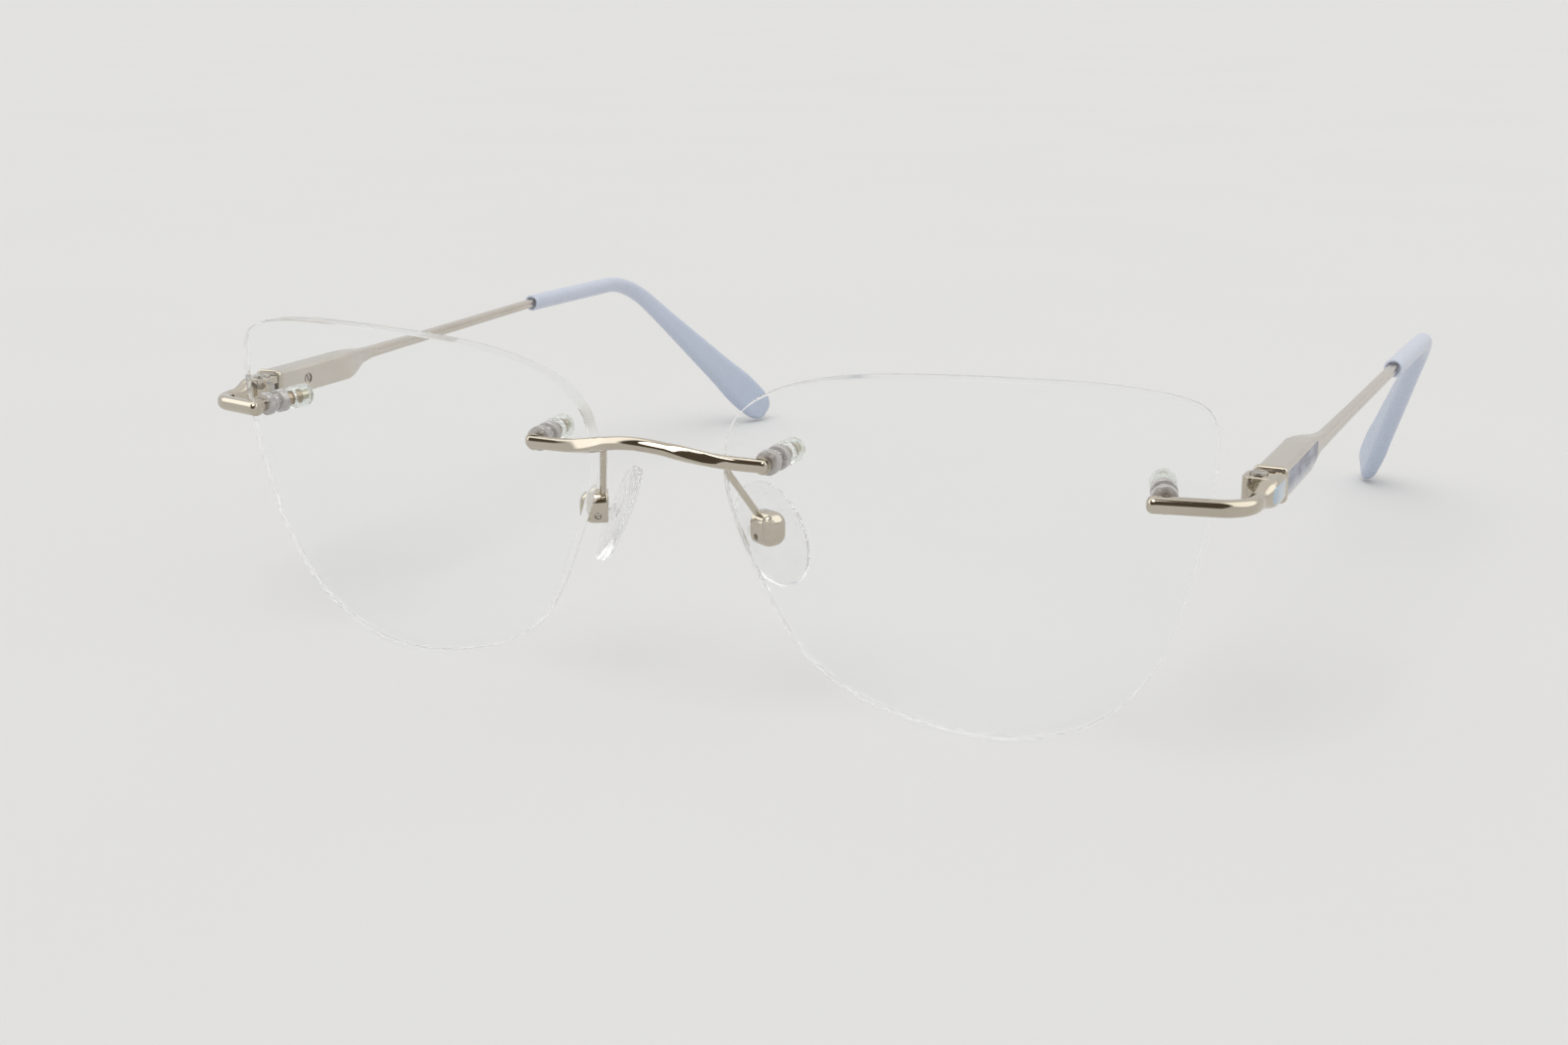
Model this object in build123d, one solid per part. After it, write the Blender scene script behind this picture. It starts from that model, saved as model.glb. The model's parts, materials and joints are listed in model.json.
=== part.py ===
"""Rimless eyeglasses with spring hinges, size 54-17-145, in millimetres.

+Z is up and the front faces -Y. The glasses stand open on the lower edges of the
lenses and on the ends of the temple tips, at z = 0. Left and right are the
wearer's, so left is +X. Everything is drawn for the left side and mirrored.
"""
import os
from math import cos, radians, sin, sqrt

from build123d import *

# Driving dimensions -------------------------------------------------------
HINGE_X = 64.8            # fold axis from the mirror plane
HINGE_Y = -57.3           # fold axis from the middle of the footprint
HINGE_Z = 29.7            # mid height of the hinge knuckle

LENS_RADIUS = 127.0       # front curve, about four dioptres
LENS_THICK = 1.8
LENS_TILT = 5.7           # pantoscopic, degrees
LENS_WRAP = 6.1           # face form, degrees
LENS_POINT = (35.1, HINGE_Y - 12.95, 23.895)  # front surface at the optical centre
LENS_OUTLINE = [          # across and up from the optical centre
    (27.3, 8.5), (26.3, 15.1), (22.4, 16.8), (9.4, 18.0), (-6.0, 17.7), (-17.4, 15.8),
    (-25.4, 10.3), (-26.5, 4.0), (-23.4, -5.9), (-16.3, -17.7), (-2.7, -23.5),
    (12.0, -23.0), (19.5, -17.5), (25.2, -4.0),
]
BRIDGE_MOUNT = (-20.2, 6.7)    # lens hole of the bridge, in the outline's axes
ENDPIECE_MOUNT = (22.3, 6.0)   # lens hole of the endpiece

PIN_R = 0.60              # pins through the lenses
SLEEVE_R = 0.95           # bush sleeve and lens hole
FLANGE_R = 1.45           # washers, collars and caps
WASHER_T = 0.9
COLLAR_T = 1.0
NUT_R = 0.95
NUT_LENGTH = 2.1
CAP_START = 3.3           # behind the lens front
CAP_END = 6.8
FIT = 0.02                # fixed fits
SEAT_GAP = 0.01           # flat faces on the curved lens
RUNNING = 0.03            # turning and sliding fits

BRIDGE_OFFSET = 2.05      # bar centre in front of the lens
BRIDGE_RISE = 1.6         # middle of the bridge above its ends
BRIDGE_BOW = 2.4          # middle of the bridge in front of its ends
BRIDGE_H = 1.55
BRIDGE_D = 1.35
BRIDGE_HALF = 15.8
BRIDGE_CUT = 0.38
BRIDGE_TWIST = [           # place along the bar, turn of its section in degrees, size
    (-15.8, 0, 0.6), (-15.45, 0, 1), (-11.2, 0, 1), (-9.4, -8, 1), (-8.0, -20, 1), (-6.6, -34, 1),
    (-5.0, -42, 1), (-3.2, -45, 1), (-1.2, -45, 1), (1.2, -45, 1), (3.2, -45, 1), (5.0, -42, 1),
    (6.6, -34, 1), (8.0, -20, 1), (9.4, -8, 1), (11.2, 0, 1), (15.45, 0, 1), (15.8, 0, 0.6),
]
ENDPIECE_OFFSET = 2.9
ENDPIECE_R = 0.92
ENDPIECE_CUT = 0.5
BAR_OVERHANG = 0.95       # bar end beyond its pin
ELBOW_X = HINGE_X + 1.0
ELBOW_Y = HINGE_Y - 8.7
ELBOW_Z = HINGE_Z - 0.2
ELBOW_RADIUS = 4.5

BLOCK_H = 3.1             # hinge fork
BLOCK_IN = 1.5            # inboard of the fold axis
BLOCK_OUT = 2.6           # outboard of the fold axis
BLOCK_FRONT = 1.9         # ahead of the fold axis
BLOCK_REAR = 1.9          # behind the fold axis
ENAMEL_T = 0.3
BLOCK_CORNER = 1.2        # lets the temple box swing past
KNUCKLE_R = 1.5
KNUCKLE_H = 1.3
SCREW_R = 0.70
SCREW_HEAD_R = 0.95
SCREW_HEAD_T = 0.55

BOX_FRONT = 2.0           # temple box, behind the fold axis
BOX_LENGTH = 15.6
BOX_H = 3.65
BOX_W = 3.35
BOX_X = HINGE_X + 0.77    # middle of the box
CAVITY_H = 2.8
CAVITY_W = 2.4
CAVITY_LENGTH = 14.6
SLIDE_LENGTH = 3.0
STEM_R = 0.45
STEM_END = 15.9
SEAT_FRONT = 6.8
SEAT_LENGTH = 2.6
SPRING_END = 14.6
SPRING_WIRE = 0.28        # square wire
SPRING_R = 0.80
SPRING_TURNS = 5
SPRING_STEPS = 10         # flats in one turn
STOP_R = 1.0
RETAINER_Y = 8.1          # small screw on the inner face
RETAINER_R = 0.5

NECK_END = 25.5
ROD_START_X = 66.75
ROD_START_Z = 30.05
ROD_SIZES = ((1.4, 1.55), (1.25, 1.35), (1.2, 1.25))   # width and height along the rod
TIP_START = (67.65, 70.4, 30.4)   # y counted from the fold axis
TIP_CORNER = (67.8, 101.9, 29.7)
TIP_END = (55.4, 132.4, 1.33)
TIP_BEND = 17.0
TUBE_R = 1.25             # straight part of the tip
TUBE_LENGTH = 22.0
TIP_SECTIONS = [           # share of the path, half thickness and half width
    (0.29, 1.21, 1.21), (0.35, 1.23, 1.24), (0.40, 1.24, 1.28), (0.45, 1.26, 1.34), (0.50, 1.28, 1.42),
    (0.60, 1.32, 1.72), (0.72, 1.36, 2.24), (0.84, 1.36, 2.85), (0.92, 1.30, 3.15), (0.965, 1.10, 2.95),
    (0.988, 0.80, 2.45), (1.0, 0.40, 1.75),
]
CORE_W = 0.7
CORE_H = 1.0
CORE_SHARE = 0.80         # how far the core wire reaches along the tip

PAD_SPLAY = 28.0          # pad box from the mirror plane, seen from above
PAD_FLARE = 23.0          # pad from upright, opening downward
PAD_LEAN = 13.7           # pad's long axis in its own plane, lower end rearward
PAD_BOX = (11.3, HINGE_Y - 7.2, 21.05)
PAD_BOX_W = 3.0           # along the pad screw
PAD_BOX_H = 3.45
PAD_BOX_D = 2.75          # away from the nose
PIVOT_UP = -0.65          # pad screw from the middle of its box
PIVOT_OUT = -0.1
PAD_LONG = 12.8
PAD_WIDE = 7.8
PAD_THICK = 1.6
PAD_REACH = 1.75          # pad screw to the back of the pad
PAD_SHANK_H = 0.8
PAD_UP = 0.4              # middle of the pad from its screw
PAD_BACK = 1.6
PAD_SCREW_R = 0.4
PAD_ARM = [(6.6, -15.9, 30.4), (7.4, -12.2, 30.2)]
ARM_R = 0.4
ARM_SIDES = 12

parts = {}


def hinge_y(y):
    """Turn a y counted from the fold axis into the model's own y."""
    return HINGE_Y + y


# Lens surfaces ------------------------------------------------------------
wrap = radians(LENS_WRAP)
tilt = radians(LENS_TILT)
level_normal = Vector(sin(wrap), -cos(wrap), 0)
lens_normal = level_normal * cos(tilt) - Vector(0, 0, sin(tilt))
LENS_PLANE = Plane(origin=LENS_POINT, x_dir=(cos(wrap), sin(wrap), 0), z_dir=lens_normal)


def mount_plane(mount):
    """Plane on the lens front at a mount, its z pointing back through the lens."""
    u, v = mount
    sag = LENS_RADIUS - sqrt(LENS_RADIUS**2 - u**2 - v**2)
    point = LENS_PLANE.from_local_coords((u, v, -sag))
    centre = LENS_PLANE.from_local_coords((0, 0, -LENS_RADIUS))
    return Plane(origin=point, x_dir=(1, 0, 0), z_dir=centre - point)


def lens():
    outline = make_face(Spline(*LENS_OUTLINE, periodic=True))
    blank = extrude(outline, amount=12, both=True)
    centre = Pos(0, 0, -LENS_RADIUS) * Rot(90, 0, 0)   # the spheres' poles lie off the lens
    shell = centre * Sphere(LENS_RADIUS) - centre * Sphere(LENS_RADIUS - LENS_THICK)
    body = LENS_PLANE * (blank & shell)
    for mount in (BRIDGE_MOUNT, ENDPIECE_MOUNT):
        body -= mount_plane(mount) * Cylinder(SLEEVE_R + FIT, 8)
    return body


# Mount hardware, drawn along +Z from the lens front -------------------------
def rod_between(radius, start, end):
    return Pos(0, 0, (start + end) / 2) * Cylinder(radius, end - start)


def washer():
    return rod_between(FLANGE_R, -WASHER_T, -SEAT_GAP) - rod_between(PIN_R + FIT, -2, 1)


def bush():
    collar = rod_between(FLANGE_R, LENS_THICK + SEAT_GAP, LENS_THICK + COLLAR_T)
    sleeve = rod_between(SLEEVE_R, 0.03, LENS_THICK + 0.2)
    return collar + sleeve - rod_between(PIN_R + FIT, -2, 6)


def nut():
    start = LENS_THICK + COLLAR_T
    barrel = rod_between(NUT_R, start, start + NUT_LENGTH)
    return barrel - rod_between(PIN_R + FIT, 0, 8)


def cap():
    shell = rod_between(FLANGE_R, CAP_START, CAP_END)
    shell = chamfer(shell.edges().sort_by(Axis.Z)[-1], 0.55)
    nut_end = LENS_THICK + COLLAR_T + NUT_LENGTH
    return shell - rod_between(NUT_R + FIT, CAP_START - 1, nut_end + FIT)


def pin(offset):
    """Shoulder and pin that leave a bar lying in front of the lens."""
    shoulder = rod_between(PIN_R + 0.18, -offset, -WASHER_T)
    return shoulder + rod_between(PIN_R, -offset, LENS_THICK + COLLAR_T + NUT_LENGTH)


# Bridge ---------------------------------------------------------------------
def bar_section(plane, wide, high, cut=0.35):
    """Rectangle with its corners cut off; wide lies along the plane's x."""
    return plane * chamfer(Rectangle(wide, high).vertices(), cut)


def path_plane(path, share):
    along = path % share
    return Plane(origin=path @ share, x_dir=along.cross(Vector(0, 0, 1)), z_dir=along)


def bridge_bar(end):
    """Bar past both pins: flat outside, twisted, bowed and raised inside."""
    rise, bow = end.Z + BRIDGE_RISE, end.Y - BRIDGE_BOW
    half = [
        (0, bow, rise), (3.4, bow + 0.45, rise - 0.35), (7.4, end.Y - 0.55, end.Z + 0.3),
        (10.6, end.Y - 0.1, end.Z), (BRIDGE_HALF, end.Y, end.Z),
    ]
    path = Spline(*[(-x, y, z) for x, y, z in reversed(half[1:])], *half)
    sections = []
    for x, turn, size in BRIDGE_TWIST:
        plane = path_plane(path, (x / BRIDGE_HALF + 1) / 2).rotated((0, 0, turn))
        sections.append(bar_section(plane, size * BRIDGE_D, size * BRIDGE_H, size * BRIDGE_CUT))
    return loft(sections, ruled=True)


def bridge():
    frame = mount_plane(BRIDGE_MOUNT)
    end = frame.from_local_coords((0, 0, -BRIDGE_OFFSET))
    half = frame * pin(BRIDGE_OFFSET)
    return bridge_bar(end) + half + mirror(half, about=Plane.YZ)


# Endpiece and hinge fork ------------------------------------------------------
def endpiece_solid():
    frame = mount_plane(ENDPIECE_MOUNT)
    above_pin = frame.from_local_coords((0, 0, -ENDPIECE_OFFSET))
    corner = Vector(ELBOW_X, ELBOW_Y, ELBOW_Z)
    start = above_pin - (corner - above_pin).normalized() * BAR_OVERHANG
    rear = (ELBOW_X, hinge_y(-1.0), ELBOW_Z)
    path = FilletPolyline(start, corner, rear, radius=ELBOW_RADIUS)
    bar = sweep(bar_section(path_plane(path, 0), 2 * ENDPIECE_R, 2 * ENDPIECE_R, ENDPIECE_CUT), path=path)
    bar = chamfer(bar.faces().sort_by_distance(path @ 0)[0].edges(), 0.3)
    swell_sections = [     # y, width, height, middle x, middle z and corner cut
        (-5.0, 2 * ENDPIECE_R - 0.1, 2 * ENDPIECE_R - 0.1, ELBOW_X, ELBOW_Z, 0.52),
        (-3.4, 2.45, 2.5, HINGE_X + 1.25, HINGE_Z - 0.1, 0.45),
        (-BLOCK_FRONT, BLOCK_OUT + 0.7, BLOCK_H, HINGE_X + (BLOCK_OUT - 0.7) / 2, HINGE_Z, 0.4),
    ]
    swell = loft([
        bar_section(Plane(origin=(x, hinge_y(y), z), x_dir=(1, 0, 0), z_dir=(0, 1, 0)), wide, high, cut)
        for y, wide, high, x, z, cut in swell_sections
    ], ruled=True)
    length = BLOCK_REAR + BLOCK_FRONT
    block = Box(BLOCK_OUT + BLOCK_IN, length, BLOCK_H)
    block = chamfer(block.edges().filter_by(Axis.Y).sort_by(Axis.X)[2:4], 0.45)
    inner = block.edges().filter_by(Axis.Z).sort_by(Axis.X)[0:2].sort_by(Axis.Y)
    block = fillet(inner[-1], BLOCK_CORNER)
    block = chamfer(block.edges().filter_by(Axis.Z).sort_by(Axis.Y)[0:2].sort_by(Axis.X)[0], 0.75)
    block = Pos(HINGE_X + (BLOCK_OUT - BLOCK_IN) / 2, HINGE_Y + BLOCK_REAR - length / 2, HINGE_Z) * block
    return bar + frame * pin(ENDPIECE_OFFSET) + swell + block


def hinge_cut():
    """Room for the knuckle and its tang in the fork, over the whole fold."""
    height = KNUCKLE_H + 2 * RUNNING
    round_part = Cylinder(KNUCKLE_R + 0.12, height)
    swing = Pos(-0.2, 1.5, 0) * Box(4.1, 3.0, height)
    return Pos(HINGE_X, HINGE_Y, HINGE_Z) * (round_part + swing)


def hinge_screw():
    top = BLOCK_H / 2
    bottom = 0.2 - BLOCK_H / 2
    shank = rod_between(SCREW_R, bottom, top - SCREW_HEAD_T / 2)
    head = rod_between(SCREW_HEAD_R, top - SCREW_HEAD_T / 2, top + SCREW_HEAD_T / 2)
    slot = Pos(0, 0, top + SCREW_HEAD_T / 2) * Rot(0, 0, 35) * Box(3, 0.32, 0.5)
    return Pos(HINGE_X, HINGE_Y, HINGE_Z) * (shank + head - slot)


def screw_bore():
    top = BLOCK_H / 2
    bore = rod_between(SCREW_R + FIT, 0.2 - FIT - top, top)
    sink = rod_between(SCREW_HEAD_R + 0.05, top - SCREW_HEAD_T / 2, top + 1)
    return Pos(HINGE_X, HINGE_Y, HINGE_Z) * (bore + sink)


def enamel_zone():
    """Outer side of the elbow that carries the enamel."""
    middle_x = HINGE_X + BLOCK_OUT - ENAMEL_T + 1
    return Pos(middle_x, hinge_y(-1.6), HINGE_Z) * Box(2, 5.2, 2.1)


# Spring hinge slider ----------------------------------------------------------
def hinge_slider():
    eye = Cylinder(KNUCKLE_R, KNUCKLE_H)
    offset = BOX_X - HINGE_X
    tang = Pos(offset, 1.4, 0) * Box(1.9, 2.8, KNUCKLE_H)
    block = Pos(offset, 2.7 + SLIDE_LENGTH / 2, 0) * Box(
        CAVITY_W - 2 * RUNNING, SLIDE_LENGTH, CAVITY_H - 2 * RUNNING)
    block = chamfer(block.edges().filter_by(Axis.Y), 0.2)
    stem = Pos(offset, 0, 0) * Rot(-90, 0, 0) * rod_between(STEM_R, 2.7 + SLIDE_LENGTH - 0.5, STEM_END)
    body = eye + tang + block + stem - Cylinder(SCREW_R + RUNNING, 5)
    return Pos(HINGE_X, HINGE_Y, HINGE_Z) * body


def on_stem(shape):
    """Place a shape drawn along +Z onto the stem, its z counted from the fold axis."""
    return Pos(BOX_X, HINGE_Y, HINGE_Z) * Rot(-90, 0, 0) * shape


def spring_stop():
    sleeve = rod_between(STOP_R, SPRING_END, STEM_END - 0.1)
    return on_stem(sleeve - rod_between(STEM_R + FIT, 0, 20))


def spring_seat():
    block = Box(CAVITY_W - 2 * FIT, CAVITY_H - 2 * FIT, SEAT_LENGTH)
    block = Pos(0, 0, SEAT_FRONT + SEAT_LENGTH / 2) * chamfer(block.edges().filter_by(Axis.Z), 0.2)
    block -= rod_between(STEM_R + 2 * RUNNING, 0, 20)
    return on_stem(block) - retainer_hole()


def hinge_spring():
    """Closely fitted coil of square wire between the seat and the stop."""
    start = SEAT_FRONT + SEAT_LENGTH + SPRING_WIRE / 2 + 0.02
    end = SPRING_END - SPRING_WIRE / 2 - 0.02
    steps = SPRING_TURNS * SPRING_STEPS
    sections = []
    for i in range(steps + 1):
        turn = 360 * i / SPRING_STEPS
        height = start + (end - start) * i / steps
        frame = Rot(0, 0, turn) * Pos(SPRING_R, 0, height) * Rot(90, 0, 0)
        sections.append(frame * Rectangle(SPRING_WIRE, SPRING_WIRE))
    return on_stem(loft(sections, ruled=True))


def retainer_hole():
    hole = Pos(BOX_X - BOX_W / 2, hinge_y(RETAINER_Y), HINGE_Z) * Rot(0, 90, 0)
    return hole * rod_between(RETAINER_R + FIT, -1, 1.0)


def retaining_screw():
    body = rod_between(RETAINER_R, 0.08, 0.95)
    slot = Pos(0, 0, 0.08) * Rot(0, 0, 20) * Box(2, 0.2, 0.3)
    return Pos(BOX_X - BOX_W / 2, hinge_y(RETAINER_Y), HINGE_Z) * Rot(0, 90, 0) * (body - slot)


# Temple -----------------------------------------------------------------------
def cross_section(y, wide, high, x, z):
    frame = Plane(origin=(x, hinge_y(y), z), x_dir=(1, 0, 0), z_dir=(0, 1, 0))
    return bar_section(frame, wide, high, 0.28 * min(wide, high))


def rod_line(y):
    """Centre of the rod: straight from the neck to the tip."""
    share = (y - NECK_END) / (TIP_START[1] - NECK_END)
    return (ROD_START_X + share * (TIP_START[0] - ROD_START_X),
            ROD_START_Z + share * (TIP_START[2] - ROD_START_Z))


def tip_path():
    points = [(x, hinge_y(y), z) for x, y, z in (TIP_START, TIP_CORNER, TIP_END)]
    return FilletPolyline(*points, radius=TIP_BEND)


def core_wire():
    """Flat wire that carries on from the rod inside the tip."""
    reach = tip_path().trim(0, CORE_SHARE)
    return sweep(path_plane(reach, 0) * Rectangle(CORE_W, CORE_H), path=reach)


def temple_solid():
    box = Box(BOX_W, BOX_LENGTH, BOX_H)
    box = fillet(box.edges().filter_by(Axis.Y), 0.5)
    box = chamfer(box.faces().sort_by(Axis.Y)[0].edges(), 0.2)
    box = Pos(BOX_X, hinge_y(BOX_FRONT + BOX_LENGTH / 2), HINGE_Z) * box
    box_end = BOX_FRONT + BOX_LENGTH
    neck = loft([          # the rod leaves near the top and outer side of the box
        cross_section(box_end, BOX_W - 0.04, BOX_H - 0.04, BOX_X, HINGE_Z),
        cross_section(box_end + 2.0, 2.75, 3.2, BOX_X + 0.26, HINGE_Z + 0.12),
        cross_section(box_end + 3.2, 2.3, 2.7, BOX_X + 0.48, HINGE_Z + 0.24),
        cross_section(box_end + 5.0, 1.7, 2.0, BOX_X + 0.85, HINGE_Z + 0.32),
        cross_section(NECK_END, *ROD_SIZES[0], ROD_START_X, ROD_START_Z),
    ], ruled=True)
    rod_ys = (NECK_END, 40.0, TIP_START[1] + 1.0)
    rod = loft([cross_section(y, *size, *rod_line(y)) for y, size in zip(rod_ys, ROD_SIZES)], ruled=True)
    return box + neck + rod + core_wire()


def temple_cavity():
    cavity = Box(CAVITY_W, CAVITY_LENGTH + 1, CAVITY_H)
    cavity = chamfer(cavity.edges().filter_by(Axis.Y), 0.18)
    middle = BOX_FRONT + (CAVITY_LENGTH - 1) / 2
    return Pos(BOX_X, hinge_y(middle), HINGE_Z) * cavity


def inlay_zone():
    depth = 0.3
    start, end = BOX_FRONT + 1.0, BOX_FRONT + BOX_LENGTH + 1.2
    middle_x = BOX_X + BOX_W / 2 - depth + 1
    return Pos(middle_x, hinge_y((start + end) / 2), HINGE_Z) * Box(2, end - start, BOX_H - 1.1)


# Temple tip -------------------------------------------------------------------
def temple_tip():
    path = tip_path()
    start = Plane(origin=path @ 0, z_dir=path % 0)
    tube = start * Cylinder(TUBE_R, TUBE_LENGTH, align=(Align.CENTER, Align.CENTER, Align.MIN))
    leg = loft([
        path_plane(path, share) * RectangleRounded(2 * thick, 2 * wide, 0.98 * thick)
        for share, thick, wide in TIP_SECTIONS
    ], ruled=True)
    mouth = start * rod_between(TUBE_R - 0.3, -0.5, 1.1)
    return tube + leg - mouth - core_wire()


# Nose pad, its box, arm and screw -----------------------------------------------
def pad_frame():
    """At the pad box: x along its screw and rearward, y up, z away from the nose."""
    splay = radians(PAD_SPLAY)
    return Plane(origin=PAD_BOX, x_dir=(sin(splay), cos(splay), 0), z_dir=(cos(splay), -sin(splay), 0))


def at_pivot(shape):
    """Place a shape drawn about the pad screw's centre."""
    return pad_frame() * Pos(0, PIVOT_UP, PIVOT_OUT) * shape


def along_screw(shape):
    return Rot(0, 90, 0) * shape


def pad_box():
    body = Box(PAD_BOX_W, PAD_BOX_H, PAD_BOX_D)
    front = body.faces().sort_by(Axis.Z)[-1].edges().sort_by(Axis.Y)
    body = fillet(front[0], 0.9)
    body = chamfer(body.edges().filter_by(Axis.X).sort_by(Axis.Y)[-2:].sort_by(Axis.Z)[-1], 0.7)
    room = Pos(0, 0, -0.6) * Box(PAD_BOX_W - 1.1, PAD_BOX_H - 0.9, PAD_BOX_D)
    bore = Pos(0, PIVOT_UP, PIVOT_OUT) * along_screw(Cylinder(PAD_SCREW_R + FIT, 6))
    return pad_frame() * (body - room - bore)


def pad_screw():
    length = PAD_BOX_W - 0.2
    slot = Pos(0, 0, -length / 2) * Rot(0, 0, 25) * Box(2, 0.16, 0.3)
    return at_pivot(along_screw(Cylinder(PAD_SCREW_R, length) - slot))


def nose_pad():
    body = extrude(Ellipse(PAD_WIDE / 2, PAD_LONG / 2), amount=PAD_THICK)
    body = chamfer(body.edges(), 0.45)
    body = Pos(PAD_BACK, PAD_UP, -PAD_REACH - PAD_THICK) * Rot(0, 0, PAD_LEAN) * body
    body = Rot(-PAD_FLARE, 0, 0) * body
    shank_w = PAD_BOX_W - 1.1 - 0.2
    shank = Pos(0, 0, -PAD_REACH / 2) * Box(shank_w, PAD_SHANK_H, PAD_REACH)
    head = along_screw(Cylinder(0.55, shank_w))
    bore = along_screw(Cylinder(PAD_SCREW_R + RUNNING, 6))
    return at_pivot(body + shank + head - bore)


def pad_arm():
    top = pad_frame().from_local_coords((-0.9, PAD_BOX_H / 2 - 0.2, -0.7))
    points = [(x, hinge_y(y), z) for x, y, z in PAD_ARM] + [top]
    path = FilletPolyline(*points, radius=1.6)
    return sweep(Plane(origin=path @ 0, z_dir=path % 0) * RegularPolygon(ARM_R, ARM_SIDES), path=path)


# Assembly ---------------------------------------------------------------------
def keep(name, shape):
    parts[name] = shape


def keep_pair(name, shape):
    keep(name + "_left", shape)
    keep(name + "_right", mirror(shape, about=Plane.YZ))


def group_at_mounts(shape):
    """The same piece at all four lens mounts."""
    left = [mount_plane(mount) * shape for mount in (BRIDGE_MOUNT, ENDPIECE_MOUNT)]
    right = [mirror(piece, about=Plane.YZ) for piece in left]
    return Compound(children=[Solid(piece.solid().wrapped) for piece in left + right])


bar = bridge()
box = pad_box()
whole_endpiece = endpiece_solid()
enamel = whole_endpiece & enamel_zone()
whole_temple = temple_solid()
inlay = whole_temple & inlay_zone()

keep("bridge", bar)
keep_pair("lens", lens())
keep("mount_washers", group_at_mounts(washer()))
keep("mount_bushes", group_at_mounts(bush()))
keep("mount_nuts", group_at_mounts(nut()))
keep("mount_caps", group_at_mounts(cap()))
keep_pair("endpiece", whole_endpiece - enamel_zone() - hinge_cut() - screw_bore())
keep_pair("endpiece_enamel", enamel)
keep_pair("hinge_screw", hinge_screw())
keep_pair("pad_arm", pad_arm() - bar - box)
keep_pair("pad_box", box)
keep_pair("pad_screw", pad_screw())
keep_pair("nose_pad", nose_pad())
keep_pair("hinge_slider", hinge_slider())
keep_pair("spring_stop", spring_stop())
keep_pair("spring_seat", spring_seat())
keep_pair("hinge_spring", hinge_spring())
keep_pair("retaining_screw", retaining_screw())
keep_pair("temple", whole_temple - temple_cavity() - inlay_zone() - retainer_hole())
keep_pair("temple_inlay", inlay)
keep_pair("temple_tip", temple_tip())

os.makedirs("parts", exist_ok=True)
for name, shape in parts.items():
    export_step(shape, f"parts/{name}.step")

everything = Compound(children=[Compound(obj=s.wrapped) for s in parts.values()])
size = everything.bounding_box()
print("low", size.min, "high", size.max)
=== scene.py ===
import json
import math

import bmesh
import bpy
import numpy as np
from mathutils import Matrix, Vector


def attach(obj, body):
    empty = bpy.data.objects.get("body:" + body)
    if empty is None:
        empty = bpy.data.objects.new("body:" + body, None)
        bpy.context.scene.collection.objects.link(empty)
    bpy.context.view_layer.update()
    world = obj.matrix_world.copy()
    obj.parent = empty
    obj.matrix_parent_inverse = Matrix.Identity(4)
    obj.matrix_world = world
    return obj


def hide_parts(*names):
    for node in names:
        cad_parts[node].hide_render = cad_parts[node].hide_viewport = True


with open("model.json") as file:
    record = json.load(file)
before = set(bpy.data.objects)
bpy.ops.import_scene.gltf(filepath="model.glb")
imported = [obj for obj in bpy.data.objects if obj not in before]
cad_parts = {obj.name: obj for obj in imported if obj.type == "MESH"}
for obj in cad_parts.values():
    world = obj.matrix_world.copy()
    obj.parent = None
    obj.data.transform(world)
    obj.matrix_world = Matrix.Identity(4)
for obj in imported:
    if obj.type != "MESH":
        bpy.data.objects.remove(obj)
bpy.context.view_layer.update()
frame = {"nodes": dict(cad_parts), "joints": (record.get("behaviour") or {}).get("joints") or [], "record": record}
joints = {joint["name"]: joint for joint in frame["joints"]}
mm = 0.001

# Where the pieces stand, in millimetres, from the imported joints
hinge = Vector(joints["left_temple_fold"]["pos_m"]) / mm
padPivot = Vector(joints["left_pad_rock"]["pos_m"]) / mm
padAxis = Vector(joints["left_pad_rock"]["axis"])
sides = {"left": 1, "right": -1}


# Mesh helpers
def putObject(name, data):
    thing = bpy.data.objects.new(name, data)
    bpy.context.scene.collection.objects.link(thing)
    return thing


def meshObject(name, points, edges=(), faces=()):
    # points in millimetres
    mesh = bpy.data.meshes.new(name)
    mesh.from_pydata([Vector(p) * mm for p in points], edges, faces)
    return putObject(name, mesh)


def rework(piece, change):
    # runs a bmesh change on a piece's mesh
    work = bmesh.new()
    work.from_mesh(piece.data)
    change(work)
    work.to_mesh(piece.data)
    work.free()
    return piece


def faceOut(piece):
    # turns every face of a closed piece outwards
    def change(work):
        bmesh.ops.remove_doubles(work, verts=work.verts, dist=1e-7)
        bmesh.ops.recalc_face_normals(work, faces=work.faces)

    return rework(piece, change)


def addMesh(name, points, faces):
    return faceOut(meshObject(name, points, faces=faces))


def settle(piece):
    # replaces a piece's mesh by what its modifiers make of it
    graph = bpy.context.evaluated_depsgraph_get()
    mesh = bpy.data.meshes.new_from_object(piece.evaluated_get(graph))
    piece.modifiers.clear()
    piece.data = mesh
    return piece


def shade(piece, angle):
    piece.data.shade_smooth()
    piece.data.set_sharp_from_angle(angle=math.radians(angle))
    return piece


def combine(piece, other, how):
    step = piece.modifiers.new(how, "BOOLEAN")
    step.operation = how
    step.object = other
    step.solver = "EXACT"
    settle(piece)
    bpy.data.objects.remove(other)
    return piece


def softenEdges(piece, width, segments, angle):
    step = piece.modifiers.new("soften", "BEVEL")
    step.width = width * mm
    step.segments = segments
    step.limit_method = "ANGLE"
    step.angle_limit = math.radians(angle)
    return settle(piece)


def copyOf(piece, name):
    return putObject(name, piece.data.copy())


def mirrored(piece, name):
    def change(work):
        bmesh.ops.transform(work, matrix=Matrix.Diagonal((-1, 1, 1, 1)), verts=work.verts)
        bmesh.ops.reverse_faces(work, faces=work.faces)

    return rework(copyOf(piece, name), change)


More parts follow.
